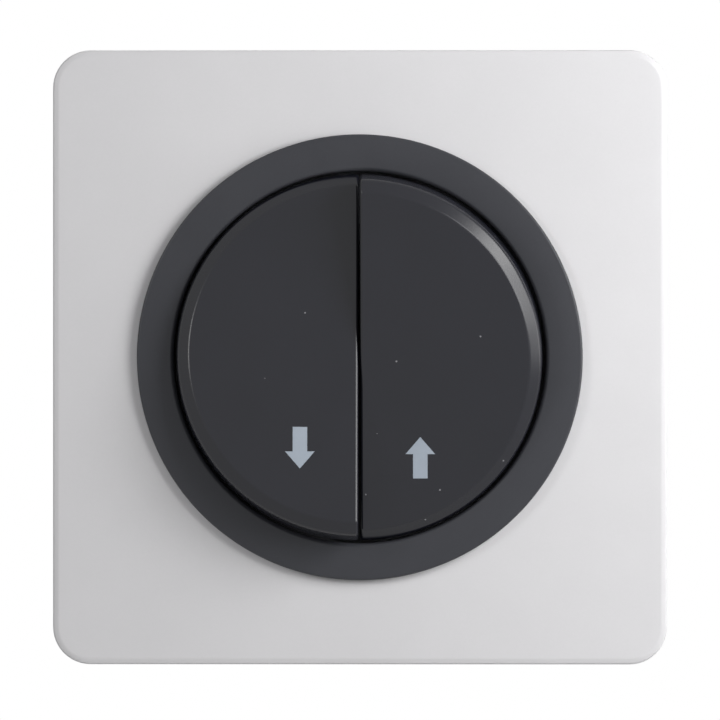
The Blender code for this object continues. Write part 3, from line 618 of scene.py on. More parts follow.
def arc(centre: Point, radius: float, start: float, end: float, steps: int) -> list[Point]:
    """Points along an arc, both ends included.

    Args:
        centre: The arc's centre.
        radius: Its radius.
        start: The angle it starts at, in radians.
        end: The angle it ends at.
        steps: The number of steps between its points.

    Returns:
        The points in order.
    """
    turn = (end - start) / steps
    angles = [start + turn * i for i in range(steps + 1)]
    return [(centre[0] + radius * math.cos(a), centre[1] + radius * math.sin(a)) for a in angles]


def fillet(last: Point, corner: Point, following: Point, radius: float, steps: int) -> list[Point]:
    """The arc that rounds the corner between two straight lines.

    Args:
        last: A point on the line before the corner.
        corner: The corner.
        following: A point on the line after it.
        radius: The arc's radius.
        steps: Its number of steps.

    Returns:
        The arc's points in order.
    """
    here = Vector(corner)
    back = (Vector(last) - here).normalized()
    ahead = (Vector(following) - here).normalized()
    half = back.angle(ahead) / 2
    centre = here + (back + ahead).normalized() * radius / math.sin(half)
    first = here + back * radius / math.tan(half) - centre
    final = here + ahead * radius / math.tan(half) - centre
    start = math.atan2(first.y, first.x)
    turn = math.atan2(first.cross(final), first.dot(final))
    return arc(tuple(centre), radius, start, start + turn, steps)


def rounded_path(corners: Sequence[tuple[float, float, float]], steps: int) -> list[Point]:
    """An open outline through (a, b, radius) corners, whose ends stay sharp.

    Args:
        corners: The corners with the radius of each.
        steps: The number of steps in each rounded corner.

    Returns:
        The outline's points.
    """
    path = [corners[0][:2]]
    for before, corner, after in zip(corners, corners[1:], corners[2:]):
        if corner[2]:
            path += fillet(before[:2], corner[:2], after[:2], corner[2], steps)
        else:
            path.append(corner[:2])
    path.append(corners[-1][:2])
    return path


@dataclass
class CoverPlate:
    """The square moulded plate: a thin shell, open at its back, with ribs and a collar.

    Attributes:
        wall: The shell's wall.
        corner: The radius of its corners, seen from the room.
        edge: The width of the shallow facet round its front.
        edge_fall: How far that facet falls.
        edge_round: The radius between the facet and the side.
        edge_blend: The radius between the facet and the front.
        hole: The radius of its round hole.
        collar_end: Where the collar behind the hole ends.
        rib_count: The number of stiffening ribs.
        rib_width: The width of a rib.
        rib_depth: How far a rib stands from the back of the front wall.
        side_steps: The number of steps along a side.
        corner_steps: The number of steps round a corner.
        edge_steps: The number of steps in each rounding of the facet.
    """

    wall: float = 2.0 * MM
    corner: float = 5.0 * MM
    edge: float = 0.75 * MM
    edge_fall: float = 0.18 * MM
    edge_round: float = 0.3 * MM
    edge_blend: float = 1.6 * MM
    hole: float = 27.3 * MM
    collar_end: float = -1.5 * MM
    rib_count: int = 8
    rib_width: float = 1.2 * MM
    rib_depth: float = 2.2 * MM
    side_steps: int = 28
    corner_steps: int = 12
    edge_steps: int = 8

    def __post_init__(self) -> None:
        """Reads the plate's side and front from the frame."""
        low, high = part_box("cover_plate")
        self.half = high.x
        self.front = low.y

    def _square(self, half: float, corner: float, y: float) -> Loop:
        """A loop round a square with round corners, at one depth.

        Args:
            half: Half the square's side.
            corner: The radius of its corners.
            y: The depth that it lies at.

        Returns:
            The loop's points in order.
        """
        loop: Loop = []
        reach = half - corner
        steps = range(1, self.side_steps)
        for quarter in range(4):
            turn = Matrix.Rotation(quarter * math.pi / 2, 2)
            bend = arc((reach, reach), corner, 0, math.pi / 2, self.corner_steps)
            side = [(reach - 2 * reach * i / self.side_steps, half) for i in steps]
            for point in bend + side:
                a, b = turn @ Vector(point)
                loop.append(Vector((a, y, b)))
        return loop

    def _circle(self, radius: float, y: float) -> Loop:
        """A loop round a circle, with its points in line with those of the square."""
        square = self._square(self.half, self.corner, y)
        return [Vector((p.x, 0, p.z)).normalized() * radius + Vector((0, y, 0)) for p in square]

    def _loops(self) -> list[Loop]:
        """The loops from the outer rim over the front, through the hole and back inside.

        Returns:
            The loops in order, each with the same number of points.
        """
        inner = self.half - self.wall
        inner_corner = self.corner - self.wall
        inside = self.front + self.wall
        outer_collar = self.hole + self.wall
        edge = rounded_path(
            [
                (0, 0, 0),
                (0, self.front + self.edge_fall, self.edge_round),
                (self.edge, self.front, self.edge_blend),
                (2 * self.edge, self.front, 0),
            ],
            self.edge_steps,
        )
        loops = [self._square(self.half - inset, self.corner - inset, y) for inset, y in edge]
        loops.append(self._circle(self.hole, self.front))
        loops.append(self._circle(self.hole, self.collar_end))
        loops.append(self._circle(outer_collar, self.collar_end))
        loops.append(self._circle(outer_collar, inside))
        loops.append(self._square(inner, inner_corner, inside))
        loops.append(self._square(inner, inner_corner, 0))
        return loops

    def build(self) -> bpy.types.Object:
        """Builds the plate in place of the frame's plain one.

        Returns:
            The finished piece, riding on the insert.
        """
        bm = bmesh.new()
        skin(bm, self._loops(), Ends.JOINED)
        plate = fused(finished("cover_plate_skin", bm, WHITE_ABS), self._ribs())
        return installed(plate, "insert", "cover_plate")

    def _ribs(self) -> bpy.types.Object:
        """The star of ribs behind the front wall, made by its Geometry Nodes tree.

        Returns:
            One object with all ribs.
        """
        inside = self.front + self.wall
        reach = self.half - self.wall / 2
        slack = (self.corner - self.wall / 2) * (math.sqrt(2) - 1)
        sizes = {
            "Count": self.rib_count,
            "Inner Reach": self.hole + self.wall / 2,
            "Straight Reach": reach,
            "Diagonal Reach": reach * math.sqrt(2) - slack,
            "Width": self.rib_width,
            "Front": inside - self.wall / 4,
            "Back": inside + self.rib_depth,
            "Material": PALETTE.get(WHITE_ABS),
        }
        return grown("plate_ribs", RibStar().tree(), sizes)


class NodeRecipe:
    """A Geometry Nodes tree with named inputs, which subclasses fill.

    Attributes:
        title: The tree's name.
        floats: The names of its inputs for sizes.
        objects: The names of its inputs for objects.
        sums: What it works out, in order: the result's name, the Math node's operation, and the
            values, each a number, an input, an earlier result or "Index" for a copy's number.
    """

    title = "recipe"
    floats: tuple[str, ...] = ()
    objects: tuple[str, ...] = ()
    sums: tuple[tuple[Any, ...], ...] = ()

    def tree(self) -> bpy.types.NodeTree:
        """Builds the tree with its sockets, its nodes and its output.

        Returns:
            The finished tree, which ends in Realize Instances and Set Material.
        """
        tree = bpy.data.node_groups.new(self.title, "GeometryNodeTree")
        face = tree.interface
        face.new_socket("Geometry", in_out="INPUT", socket_type="NodeSocketGeometry")
        face.new_socket("Geometry", in_out="OUTPUT", socket_type="NodeSocketGeometry")
        face.new_socket("Count", in_out="INPUT", socket_type="NodeSocketInt")
        for name in self.floats:
            face.new_socket(name, in_out="INPUT", socket_type="NodeSocketFloat")
        for name in self.objects:
            face.new_socket(name, in_out="INPUT", socket_type="NodeSocketObject")
        face.new_socket("Material", in_out="INPUT", socket_type="NodeSocketMaterial")
        sockets = {socket.name: socket for socket in add_node(tree, "NodeGroupInput").outputs}
        sockets["Index"] = add_node(tree, "GeometryNodeInputIndex").outputs[0]
        for name, operation, *values in self.sums:
            inputs = {i: sockets.get(value, value) for i, value in enumerate(values)}
            node = add_node(tree, "ShaderNodeMath", {"operation": operation}, inputs)
            sockets[name] = node.outputs[0]
        shape = self.shape(tree, sockets)
        real = add_node(tree, "GeometryNodeRealizeInstances", None, {"Geometry": shape})
        dressed = add_node(
            tree,
            "GeometryNodeSetMaterial",
            None,
            {"Geometry": real.outputs[0], "Material": sockets["Material"]},
        )
        add_node(tree, "NodeGroupOutput", None, {"Geometry": dressed.outputs[0]})
        return tree

    def shape(self, tree: bpy.types.NodeTree, sockets: Sockets) -> bpy.types.NodeSocket:
        """Adds the nodes that make the geometry.

        Args:
            tree: The tree being built.
            sockets: The sockets of the inputs and of the sums, by name.

        Returns:
            The socket that carries the instances.
        """
        raise NotImplementedError


class RibStar(NodeRecipe):
    """Ribs that run outwards from a collar, every second one longer, into the corners."""

    title = "rib_star"
    floats = ("Inner Reach", "Straight Reach", "Diagonal Reach", "Width", "Front", "Back")
    sums = (
        ("Step", "DIVIDE", 2 * math.pi, "Count"),
        ("Turn", "MULTIPLY", "Index", "Step"),
        ("Turn Back", "MULTIPLY", "Turn", -1.0),
        ("Odd", "MODULO", "Index", 2.0),
        ("Extra", "SUBTRACT", "Diagonal Reach", "Straight Reach"),
        ("Reach", "MULTIPLY_ADD", "Odd", "Extra", "Straight Reach"),
        ("Length", "SUBTRACT", "Reach", "Inner Reach"),
        ("Both Ends", "ADD", "Reach", "Inner Reach"),
        ("Middle", "MULTIPLY", "Both Ends", 0.5),
        ("Depth", "SUBTRACT", "Back", "Front"),
        ("Both Faces", "ADD", "Back", "Front"),
        ("Centre", "MULTIPLY", "Both Faces", 0.5),
        ("Cosine", "COSINE", "Turn"),
        ("Across", "MULTIPLY", "Middle", "Cosine"),
        ("Sine", "SINE", "Turn"),
        ("Upright", "MULTIPLY", "Middle", "Sine"),
    )

    def shape(self, tree: bpy.types.NodeTree, sockets: Sockets) -> bpy.types.NodeSocket:
        """Adds the nodes that make the geometry.

        Args:
            tree: The tree being built.
            sockets: The sockets of the inputs and of the sums, by name.

        Returns:
            The socket that carries the instances.
        """
        points = add_node(tree, "GeometryNodeMeshLine", None, {"Count": sockets["Count"]})
        place = add_node(
            tree,
            "ShaderNodeCombineXYZ",
            None,
            {"X": sockets["Across"], "Y": sockets["Centre"], "Z": sockets["Upright"]},
        )
        placed = add_node(
            tree,
            "GeometryNodeSetPosition",
            None,
            {"Geometry": points.outputs[0], "Position": place.outputs[0]},
        )
        angle = add_node(tree, "ShaderNodeCombineXYZ", None, {"Y": sockets["Turn Back"]})
        size = add_node(
            tree,
            "ShaderNodeCombineXYZ",
            None,
            {"X": sockets["Length"], "Y": sockets["Depth"], "Z": sockets["Width"]},
        )
        rib = add_node(tree, "GeometryNodeMeshCube", None, {"Size": (1.0, 1.0, 1.0)})
        copies = add_node(
            tree,
            "GeometryNodeInstanceOnPoints",
            None,
            {
                "Points": placed.outputs[0],
                "Instance": rib.outputs[0],
                "Rotation": angle.outputs[0],
                "Scale": size.outputs[0],
            },
        )
        return copies.outputs[0]


class CopiesAround(NodeRecipe):
    """Copies of one shape, turned round the Y axis by equal steps from a first angle."""

    title = "copies_around"
    floats = ("Phase",)
    objects = ("Shape",)
    sums = (
        ("Step", "DIVIDE", 2 * math.pi, "Count"),
        ("Turn", "MULTIPLY_ADD", "Index", "Step", "Phase"),
        ("Turn Back", "MULTIPLY", "Turn", -1.0),
    )

    def shape(self, tree: bpy.types.NodeTree, sockets: Sockets) -> bpy.types.NodeSocket:
        """Adds the nodes that make the geometry.

        Args:
            tree: The tree being built.
            sockets: The sockets of the inputs and of the sums, by name.

        Returns:
            The socket that carries the instances.
        """
        points = add_node(
            tree,
            "GeometryNodeMeshLine",
            None,
            {"Count": sockets["Count"], "Offset": (0.0, 0.0, 0.0)},
        )
        angle = add_node(tree, "ShaderNodeCombineXYZ", None, {"Y": sockets["Turn Back"]})
        source = add_node(tree, "GeometryNodeObjectInfo", None, {"Object": sockets["Shape"]})
        copies = add_node(
            tree,
            "GeometryNodeInstanceOnPoints",
            None,
            {
                "Points": points.outputs[0],
                "Instance": source.outputs["Geometry"],
                "Rotation": angle.outputs[0],
            },
        )
        return copies.outputs[0]


def copies_around(
    shape: bpy.types.Object, count: int, phase: float, finish: Finish
) -> bpy.types.Object:
    """Copies a shape round the Y axis.

    Args:
        shape: The shape, at its place for an angle of zero. It is removed.
        count: The number of copies in a full turn.
        phase: The angle of the first, in radians.
        finish: What they are made of.

    Returns:
        One object with all copies.
    """
    sizes = {"Count": count, "Phase": phase, "Shape": shape, "Material": PALETTE.get(finish)}
    copies = grown(shape.name + "_copies", CopiesAround().tree(), sizes)
    bpy.data.objects.remove(shape)
    return copies


def prism(name: str, outline: Sequence[Point], span: Point, finish: Finish) -> bpy.types.Object:
    """A shape of constant (y, z) section along X.

    Args:
        name: The shape's name.
        outline: Its section.
        span: Where it starts and ends on X.
        finish: What it is made of.

    Returns:
        The new object.
    """
    bm = bmesh.new()
    skin(bm, [[Vector((x, y, z)) for y, z in outline] for x in span], Ends.CAPPED)
    return finished(name, bm, finish)


def grown(name: str, tree: bpy.types.NodeTree, sizes: dict[str, Any]) -> bpy.types.Object:
    """Runs a Geometry Nodes tree and keeps its result as a plain mesh.

    Args:
        name: The new object's name.
        tree: The tree.
        sizes: A value for each of its named inputs.

    Returns:
        An object at the origin, with no modifier.
    """
    base = bpy.data.objects.new(name, bpy.data.meshes.new(name))
    bpy.context.scene.collection.objects.link(base)
    modifier = base.modifiers.new(name, "NODES")
    modifier.node_group = tree
    for item in tree.interface.items_tree:
        if item.in_out == "INPUT" and item.name in sizes:
            modifier[item.identifier] = sizes[item.name]
    return applied(base)


@dataclass
class TrimRing:
    """The dark ring: a flange on the plate, a collar round the rockers and four snap legs.

    Attributes:
        inner: The well's radius.
        collar: The collar's outer radius.
        flange: The flange's thickness.
        inset: How far its outer edge stands in from the frame's plain one.
        edge: The radius of the flange's outer edge.
        lip: The radius of its inner edge.
        collar_end: Where the collar ends, in front of the support frame.
        leg_wall: The thickness of a snap leg.
        leg_width: Its width.
        leg_inset: How far it stands back from the collar's outside.
        leg_root: How far it reaches into the collar.
        leg_edge: The radius of its edges.
        leg_steps: The number of steps across it.
        catch: Where its barb hooks behind the support frame.
        barb: How far the barb stands out.
        hook: The length of the barb's slope.
        leg_angle: How far each leg stands above or below the middle.
        steps: The number of steps in a full turn.
        edge_steps: The number of steps in each rounded edge.
    """

    inner: float = 24.8 * MM
    collar: float = 27.0 * MM
    flange: float = 1.1 * MM
    inset: float = 0.25 * MM
    edge: float = 0.3 * MM
    lip: float = 0.6 * MM
    collar_end: float = -1.5 * MM
    leg_wall: float = 1.1 * MM
    leg_width: float = 5.5 * MM
    leg_inset: float = 0.2 * MM
    leg_root: float = 0.3 * MM
    leg_edge: float = 0.15 * MM
    leg_steps: int = 10
    catch: float = 0.3 * MM
    barb: float = 0.7 * MM
    hook: float = 1.4 * MM
    leg_angle: float = math.radians(22)
    steps: int = 192
    edge_steps: int = 6

    def __post_init__(self) -> None:
        """Reads the ring's radius and face from the frame."""
        low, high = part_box("trim_ring")
        self.radius = high.x - self.inset
        self.face = low.y

    def build(self) -> bpy.types.Object:
        """Builds the ring in place of the frame's plain one.

        Returns:
            The finished piece, riding on the insert.
        """
        back = self.face + self.flange
        start = (self.collar, self.collar_end)
        path = rounded_path(
            [
                (*start, 0),
                (self.inner, self.collar_end, 0),
                (self.inner, self.face, self.lip),
                (self.radius, self.face, self.edge),
                (self.radius, back, 0),
                (self.collar, back, 0),
                (*start, 0),
            ],
            self.edge_steps,
        )[:-1]
        bm = bmesh.new()
        loops = []
        for i in range(self.steps):
            angle = 2 * math.pi * i / self.steps
            loops.append([Vector((r * math.cos(angle), y, r * math.sin(angle))) for r, y in path])
        skin(bm, loops, Ends.JOINED)
        ring = finished("trim_ring_skin", bm, RING_FINISH)
        for phase in (self.leg_angle, -self.leg_angle):
            fused(ring, copies_around(self._leg(), 2, phase, RING_FINISH))
        return installed(ring, "insert", "trim_ring")

    def _leg(self) -> bpy.types.Object:
        """One snap leg on the +X side: a piece of the collar's wall with a barb at its end.

        Returns:
            The leg, with its edges rounded.
        """
        inner = self.collar - self.leg_wall
        outer = self.collar - self.leg_inset
        root = self.collar_end - self.leg_root
        profile = [
            (inner, root),
            (outer, root),
            (outer, self.catch),
            (self.collar + self.barb, self.catch),
            (inner + self.leg_wall / 2, self.catch + self.hook),
            (inner, self.catch + self.hook),
        ]
        loops = []
        for i in range(self.leg_steps + 1):
            z = self.leg_width * (i / self.leg_steps - 0.5)
            loops.append([Vector((math.sqrt(r * r - z * z), y, z)) for r, y in profile])
        bm = bmesh.new()
        skin(bm, loops, Ends.CAPPED)
        leg = finished("snap_leg", bm, RING_FINISH)
        soften(leg, self.leg_edge)
        return applied(leg)


@dataclass
class Rocker:
    """One half disc: a hollow bevelled cap that tilts about the line through the levers.

    Attributes:
        side: Which of the two rockers it is.
        radius: The radius at its skirt.
        draft: How much narrower it is at its shoulder.
        bevel: The width of the bevel round its face.
        bevel_depth: How far the bevel falls.
        rise: How far the face stands before the pivot.
        skirt: How far the skirt reaches behind the pivot.
        face_wall: The wall behind the face.
        side_wall: The wall at the skirt and along the seam.
        seam: The gap between the two rockers.
        edge: The radius where the face turns into the bevel.
        shoulder: The radius where the bevel turns into the side.
        seam_edge: The width of the rounding along the seam and the skirt.
        rib_offset: How far each stiffening rib lies from the lever's middle.
        rib_wall: The thickness of a rib.
        rib_depth: How far it stands from the underside of the face.
        rib_half: Half its length.
        hook_width: The width of a snap hook.
        hook_start: How far a hook's inner side lies from the lever's middle.
        hook_wall: The thickness of a hook.
        hook_depth: How far its barb lies behind the underside of the face.
        hook_barb: How far the barb stands in.
        root: How far ribs and hooks reach into the face.
        arc_steps: The number of steps along each arc.
        edge_steps: The number of steps in each rounded edge.
    """

    side: Side
    radius: float = 24.4 * MM
    draft: float = 0.1 * MM
    bevel: float = 1.65 * MM
    bevel_depth: float = 1.06 * MM
    rise: float = 3.86 * MM
    skirt: float = 1.6 * MM
    face_wall: float = 1.8 * MM
    side_wall: float = 1.5 * MM
    seam: float = 0.3 * MM
    edge: float = 0.8 * MM
    shoulder: float = 0.9 * MM
    seam_edge: float = 0.3 * MM
    rib_offset: float = 7.4 * MM
    rib_wall: float = 1.0 * MM
    rib_depth: float = 1.6 * MM
    rib_half: float = 8.0 * MM
    hook_width: float = 5.0 * MM
    hook_start: float = 7.3 * MM
    hook_wall: float = 1.0 * MM
    hook_depth: float = 1.6 * MM
    hook_barb: float = 0.7 * MM
    root: float = 0.3 * MM
    arc_steps: int = 120
    edge_steps: int = 8

    def __post_init__(self) -> None:
        """Reads the pivot, the lever's place and the tilt at rest from the frame's joint."""
        joint = next(j for j in frame["joints"] if j["name"] == f"rocker_{self.side.word}_swing")
        travel = sum(joint["range_deg"])
        self.tilt = -math.radians(travel) / 2
        self.pivot = Vector((0, joint["pos_m"][1], 0))
        self.lever = joint["pos_m"][0]

    @property
    def body(self) -> str:
        """The frame's body that the rocker rides on."""
        return f"rocker_{self.side.word}_body"

    def placed(self) -> Matrix:
        """From the rocker's own frame, with its pivot at the origin, to the room's."""
        return Matrix.Translation(self.pivot) @ Matrix.Rotation(self.tilt, 4, "X")

    def _half_arc(self, radius: float, height: float, chord: float) -> Loop:
        """The arc of one radius that lies on this side of a line along the seam.

        Args:
            radius: The arc's radius.
            height: How far before the pivot it lies.
            chord: How far the line lies from the middle of the seam.

        Returns:
            The arc's points in order.
        """
        reach = math.acos(min(1.0, chord / radius))
        points = arc((0, 0), radius, -reach, reach, self.arc_steps)
        return [Vector((self.side.value * a, -height, b)) for a, b in points]

    def _outer(self) -> list[Point]:
        """The outer profile, from the face to the skirt.

        Returns:
            Its points, each a radius and a height.
        """
        shoulder = self.radius - self.draft
        face = shoulder - self.bevel
        return rounded_path(
            [
                (face - self.bevel, self.rise, 0),
                (face, self.rise, self.edge),
                (shoulder, self.rise - self.bevel_depth, self.shoulder),
                (self.radius, -self.skirt, 0),
            ],
            self.edge_steps,
        )

    def _inner(self) -> list[Point]:
        """The inner profile, from the underside of the face to the skirt.

        Returns:
            Its points, each a radius and a height.
        """
        shoulder = self.radius - self.draft - self.side_wall
        top = self.rise - self.face_wall
        return [
            (shoulder - self.bevel, top),
            (shoulder, self.rise - self.bevel_depth - self.face_wall / 2),
            (self.radius - self.side_wall, -self.skirt),
        ]

    def build(self) -> bpy.types.Object:
        """Builds the rocker in place of the frame's plain one.

        Returns:
            The finished piece, riding on its own body.
        """
        bm = bmesh.new()
        near = self.seam / 2
        outer = [self._half_arc(r, h, near) for r, h in self._outer()]
        inner = [self._half_arc(r, h, near + self.side_wall) for r, h in self._inner()]
        rims = []
        for loops in (outer, inner):
            rows = [[bm.verts.new(point) for point in loop] for loop in loops]
            for first, second in zip(rows, rows[1:]):
                for a, b, c, d in zip(first, first[1:], second[1:], second):
                    bm.faces.new((a, b, c, d))
            bm.faces.new(rows[0])
            bm.faces.new([row[0] for row in rows] + [row[-1] for row in reversed(rows)])
            rims.append(rows[-1])
        outer_rim, inner_rim = rims
        count = len(outer_rim)
        for i in range(count):
            j = (i + 1) % count
            bm.faces.new((outer_rim[i], outer_rim[j], inner_rim[j], inner_rim[i]))
        bmesh.ops.transform(bm, matrix=self.placed(), verts=bm.verts)
        rocker = finished(f"rocker_{self.side.word}_skin", bm, ROCKER_FINISH)
        soften(rocker, self.seam_edge)
        fused(applied(rocker), self._in_pair(self._rib()), self._in_pair(self._hook()))
        return installed(rocker, self.body, f"rocker_{self.side.word}")

    def _rib(self) -> bpy.types.Object:
        """A stiffening rib under the face, beside the lever's middle.

        Returns:
            The rib, with the lever's middle at the origin.
        """
        top = self.face_wall - self.rise
        near, far = top - self.root, top + self.rib_depth
        half = self.rib_half
        section = [(near, -half), (far, -half), (far, half), (near, half)]
        span = (self.rib_offset - self.rib_wall / 2, self.rib_offset + self.rib_wall / 2)
        return prism("rocker_rib", section, span, ROCKER_FINISH)

    def _hook(self) -> bpy.types.Object:
        """A snap hook that grips the end of the lever's saddle.

        Returns:
            The hook, with the lever's middle at the origin.
        """
        top = self.face_wall - self.rise
        inner, outer = self.hook_start, self.hook_start + self.hook_wall
        catch = top + self.hook_depth
        section = [
            (top - self.root, inner),
            (top - self.root, outer),
            (catch + 2 * self.hook_barb, outer),
            (catch + self.hook_barb, inner - self.hook_barb),
            (catch, inner - self.hook_barb),
            (catch, inner),
        ]
        span = (-self.hook_width / 2, self.hook_width / 2)
        return prism("rocker_hook", section, span, ROCKER_FINISH)

    def _in_pair(self, shape: bpy.types.Object) -> bpy.types.Object:
        """Two copies of a shape, one on each side of the lever's middle, in the rocker's place.

        Args:
            shape: The shape, with the lever's middle at the origin. It is removed.

        Returns:
            One object with both copies.
        """
        pair = copies_around(shape, 2, 0.0, ROCKER_FINISH)
        pair.data.transform(self.placed() @ Matrix.Translation((self.lever, 0, 0)))
        return pair


@dataclass
class Arrow:
    """A printed arrow on a rocker's face: a generic sign that points down or up.

    Attributes:
        rocker: The rocker that carries it.
        across: How far its middle lies from the seam.
        height: How high its middle lies on the face.
        length: Its length from tail to tip.
        shaft: The width of its shaft.
        head: The width of its head.
        head_length: The length of its head.
        ink: How thick the ink is.
    """

    rocker: Rocker
    across: float
    height: float
    length: float = 5.57 * MM
    shaft: float = 1.93 * MM
    head: float = 3.94 * MM
    head_length: float = 2.3 * MM
    ink: float = 0.03 * MM

    def _outline(self) -> list[Point]:
        """The arrow pointing up, with its middle at the origin.

        Returns:
            The outline's points in order.
        """
        tip = self.length / 2
        barb = tip - self.head_length
        right = [(0, tip), (self.head / 2, barb), (self.shaft / 2, barb), (self.shaft / 2, -tip)]
        left = [(-a, b) for a, b in reversed(right[1:])]
        return right + left

    def build(self) -> bpy.types.Object:
        """Builds the arrow as a thin layer of ink on its rocker's face.

        Returns:
            The finished piece, riding on the rocker's body.
        """
        side = self.rocker.side.value
        bm = bmesh.new()
        points = [
            Vector((side * self.across + a, -self.rocker.rise, self.height + side * b))
            for a, b in self._outline()
        ]
        face = bm.faces.new([bm.verts.new(point) for point in points])
        raised = bmesh.ops.extrude_face_region(bm, geom=[face])["geom"]
        verts = [v for v in raised if isinstance(v, bmesh.types.BMVert)]
        bmesh.ops.translate(bm, vec=(0, -self.ink, 0), verts=verts)
        bmesh.ops.transform(bm, matrix=self.rocker.placed(), verts=bm.verts)
        arrow = finished(f"arrow_{self.rocker.side.word}", bm, PALE_INK)
        return installed(arrow, self.rocker.body, None)


# Each arrow's middle on its face: how far from the seam and how high
ARROW_PLACES: dict[Side, Point] = {
    Side.DOWN: (7.85 * MM, -12.66 * MM),
    Side.UP: (8.1 * MM, -12.95 * MM),
}


@dataclass
class Moulding:
    """A piece with the frame's own form, whose edges are rounded and whose finish is made here.

    Attributes:
        node: The frame's node.
        finish: What it is made of.
        edge: The radius of its edges.
        rim: The radius that its outer rim is brought to, or 0 to leave it.
        rim_share: How near to its outermost point a point of that rim lies, as a share.
        flat_angle: The greatest angle between faces that are joined as one flat face.
        edge_steps: The number of segments in a rounded edge.
        edge_limit: The least angle between faces, in degrees, whose edge is rounded.
    """

    node: str
    finish: Finish
    edge: float
    rim: float = 0.0
    rim_share: float = 0.99
    flat_angle: float = math.radians(1)
    edge_steps: int = 2
    edge_limit: float = 50

    def build(self) -> bpy.types.Object:
        """Builds the piece from a copy of its node.

        Returns:
            The finished piece, riding on the insert.
        """
        bm = bmesh.new()
        bm.from_mesh(frame["nodes"][self.node].data)
        bmesh.ops.remove_doubles(bm, verts=bm.verts, dist=2 * MERGE)
        bmesh.ops.dissolve_limit(bm, angle_limit=self.flat_angle, verts=bm.verts, edges=bm.edges)
        if self.rim:
            self._widen(bm)
        piece = finished(f"{self.node}_skin", bm, self.finish)
        soften(piece, self.edge, self.edge_steps, self.edge_limit)
        return installed(applied(piece), "insert", self.node)

    def _widen(self, bm: bmesh.types.BMesh) -> None:
        """Brings the points of the outer rim out to their radius.

        Args:
            bm: The piece's mesh.
        """
        reach = max(math.hypot(v.co.x, v.co.z) for v in bm.verts)
        for vert in bm.verts:
            radius = math.hypot(vert.co.x, vert.co.z)
            if radius > self.rim_share * reach:
                vert.co.x *= self.rim / radius
                vert.co.z *= self.rim / radius


MOULDINGS = (
    Moulding("support_frame", ZINC_PLATED_STEEL, 0.12 * MM),
    Moulding("mechanism_cover", DARK_POLYAMIDE, 0.08 * MM, rim=24.95 * MM),
    Moulding("base_housing", UREA_RESIN, 0.2 * MM),
)


class Mechanism:
    """Everything behind the rockers that keeps the frame's own shape and gets its finish here."""

    def __init__(self) -> None:
        """Reads which material slot each node has from the record."""
        self.slots = {part["node"]: part["material_slot"] for part in frame["record"]["subparts"]}

    def dress(self) -> list[str]:
        """Gives each node of the frame that still shows its material.

        Returns:
            The names of the nodes that were dressed.
        """
        by_slot = {finish.slot: finish for finish in INNER_FINISHES}
        dressed = []
        for name, node in frame["nodes"].items():
            if node.hide_render:
                continue
            material = PALETTE.get(by_slot[self.slots[name]])
            for slot in node.material_slots:
                slot.material = material
            dressed.append(name)
        return dressed


@dataclass(frozen=True)
class Softbox:
    """A square studio lamp that faces the switch.

    Attributes:
        name: The lamp's name.
        bearing: Where it stands round the switch, in degrees from the right by way of the top.
        elevation: How far it stands in front of the plate, in degrees.
        distance: How far from the plate's middle.
        size: The length of its side.
        power: Its power in watts.
    """

    name: str
    bearing: float
    elevation: float
    distance: float
    size: float
    power: float

    @property
    def place(self) -> Vector:
        """The lamp's place in the room.

        Returns:
            The place, in metres from the origin.
        """
        around = math.radians(self.bearing)
        out = math.radians(self.elevation)
        reach = math.cos(out)
        towards = Vector((reach * math.cos(around), -math.sin(out), reach * math.sin(around)))
        return self.distance * towards

    def build(self) -> None:
        """Adds the lamp to the scene, turned towards the origin."""
        lamp = bpy.data.lights.new(self.name, "AREA")
        lamp.shape = "SQUARE"
        lamp.size = self.size
        lamp.energy = self.power
        holder = bpy.data.objects.new(self.name, lamp)
        holder.location = self.place
        holder.rotation_euler = (-self.place).to_track_quat("-Z", "Y").to_euler()
        bpy.context.scene.collection.objects.link(holder)


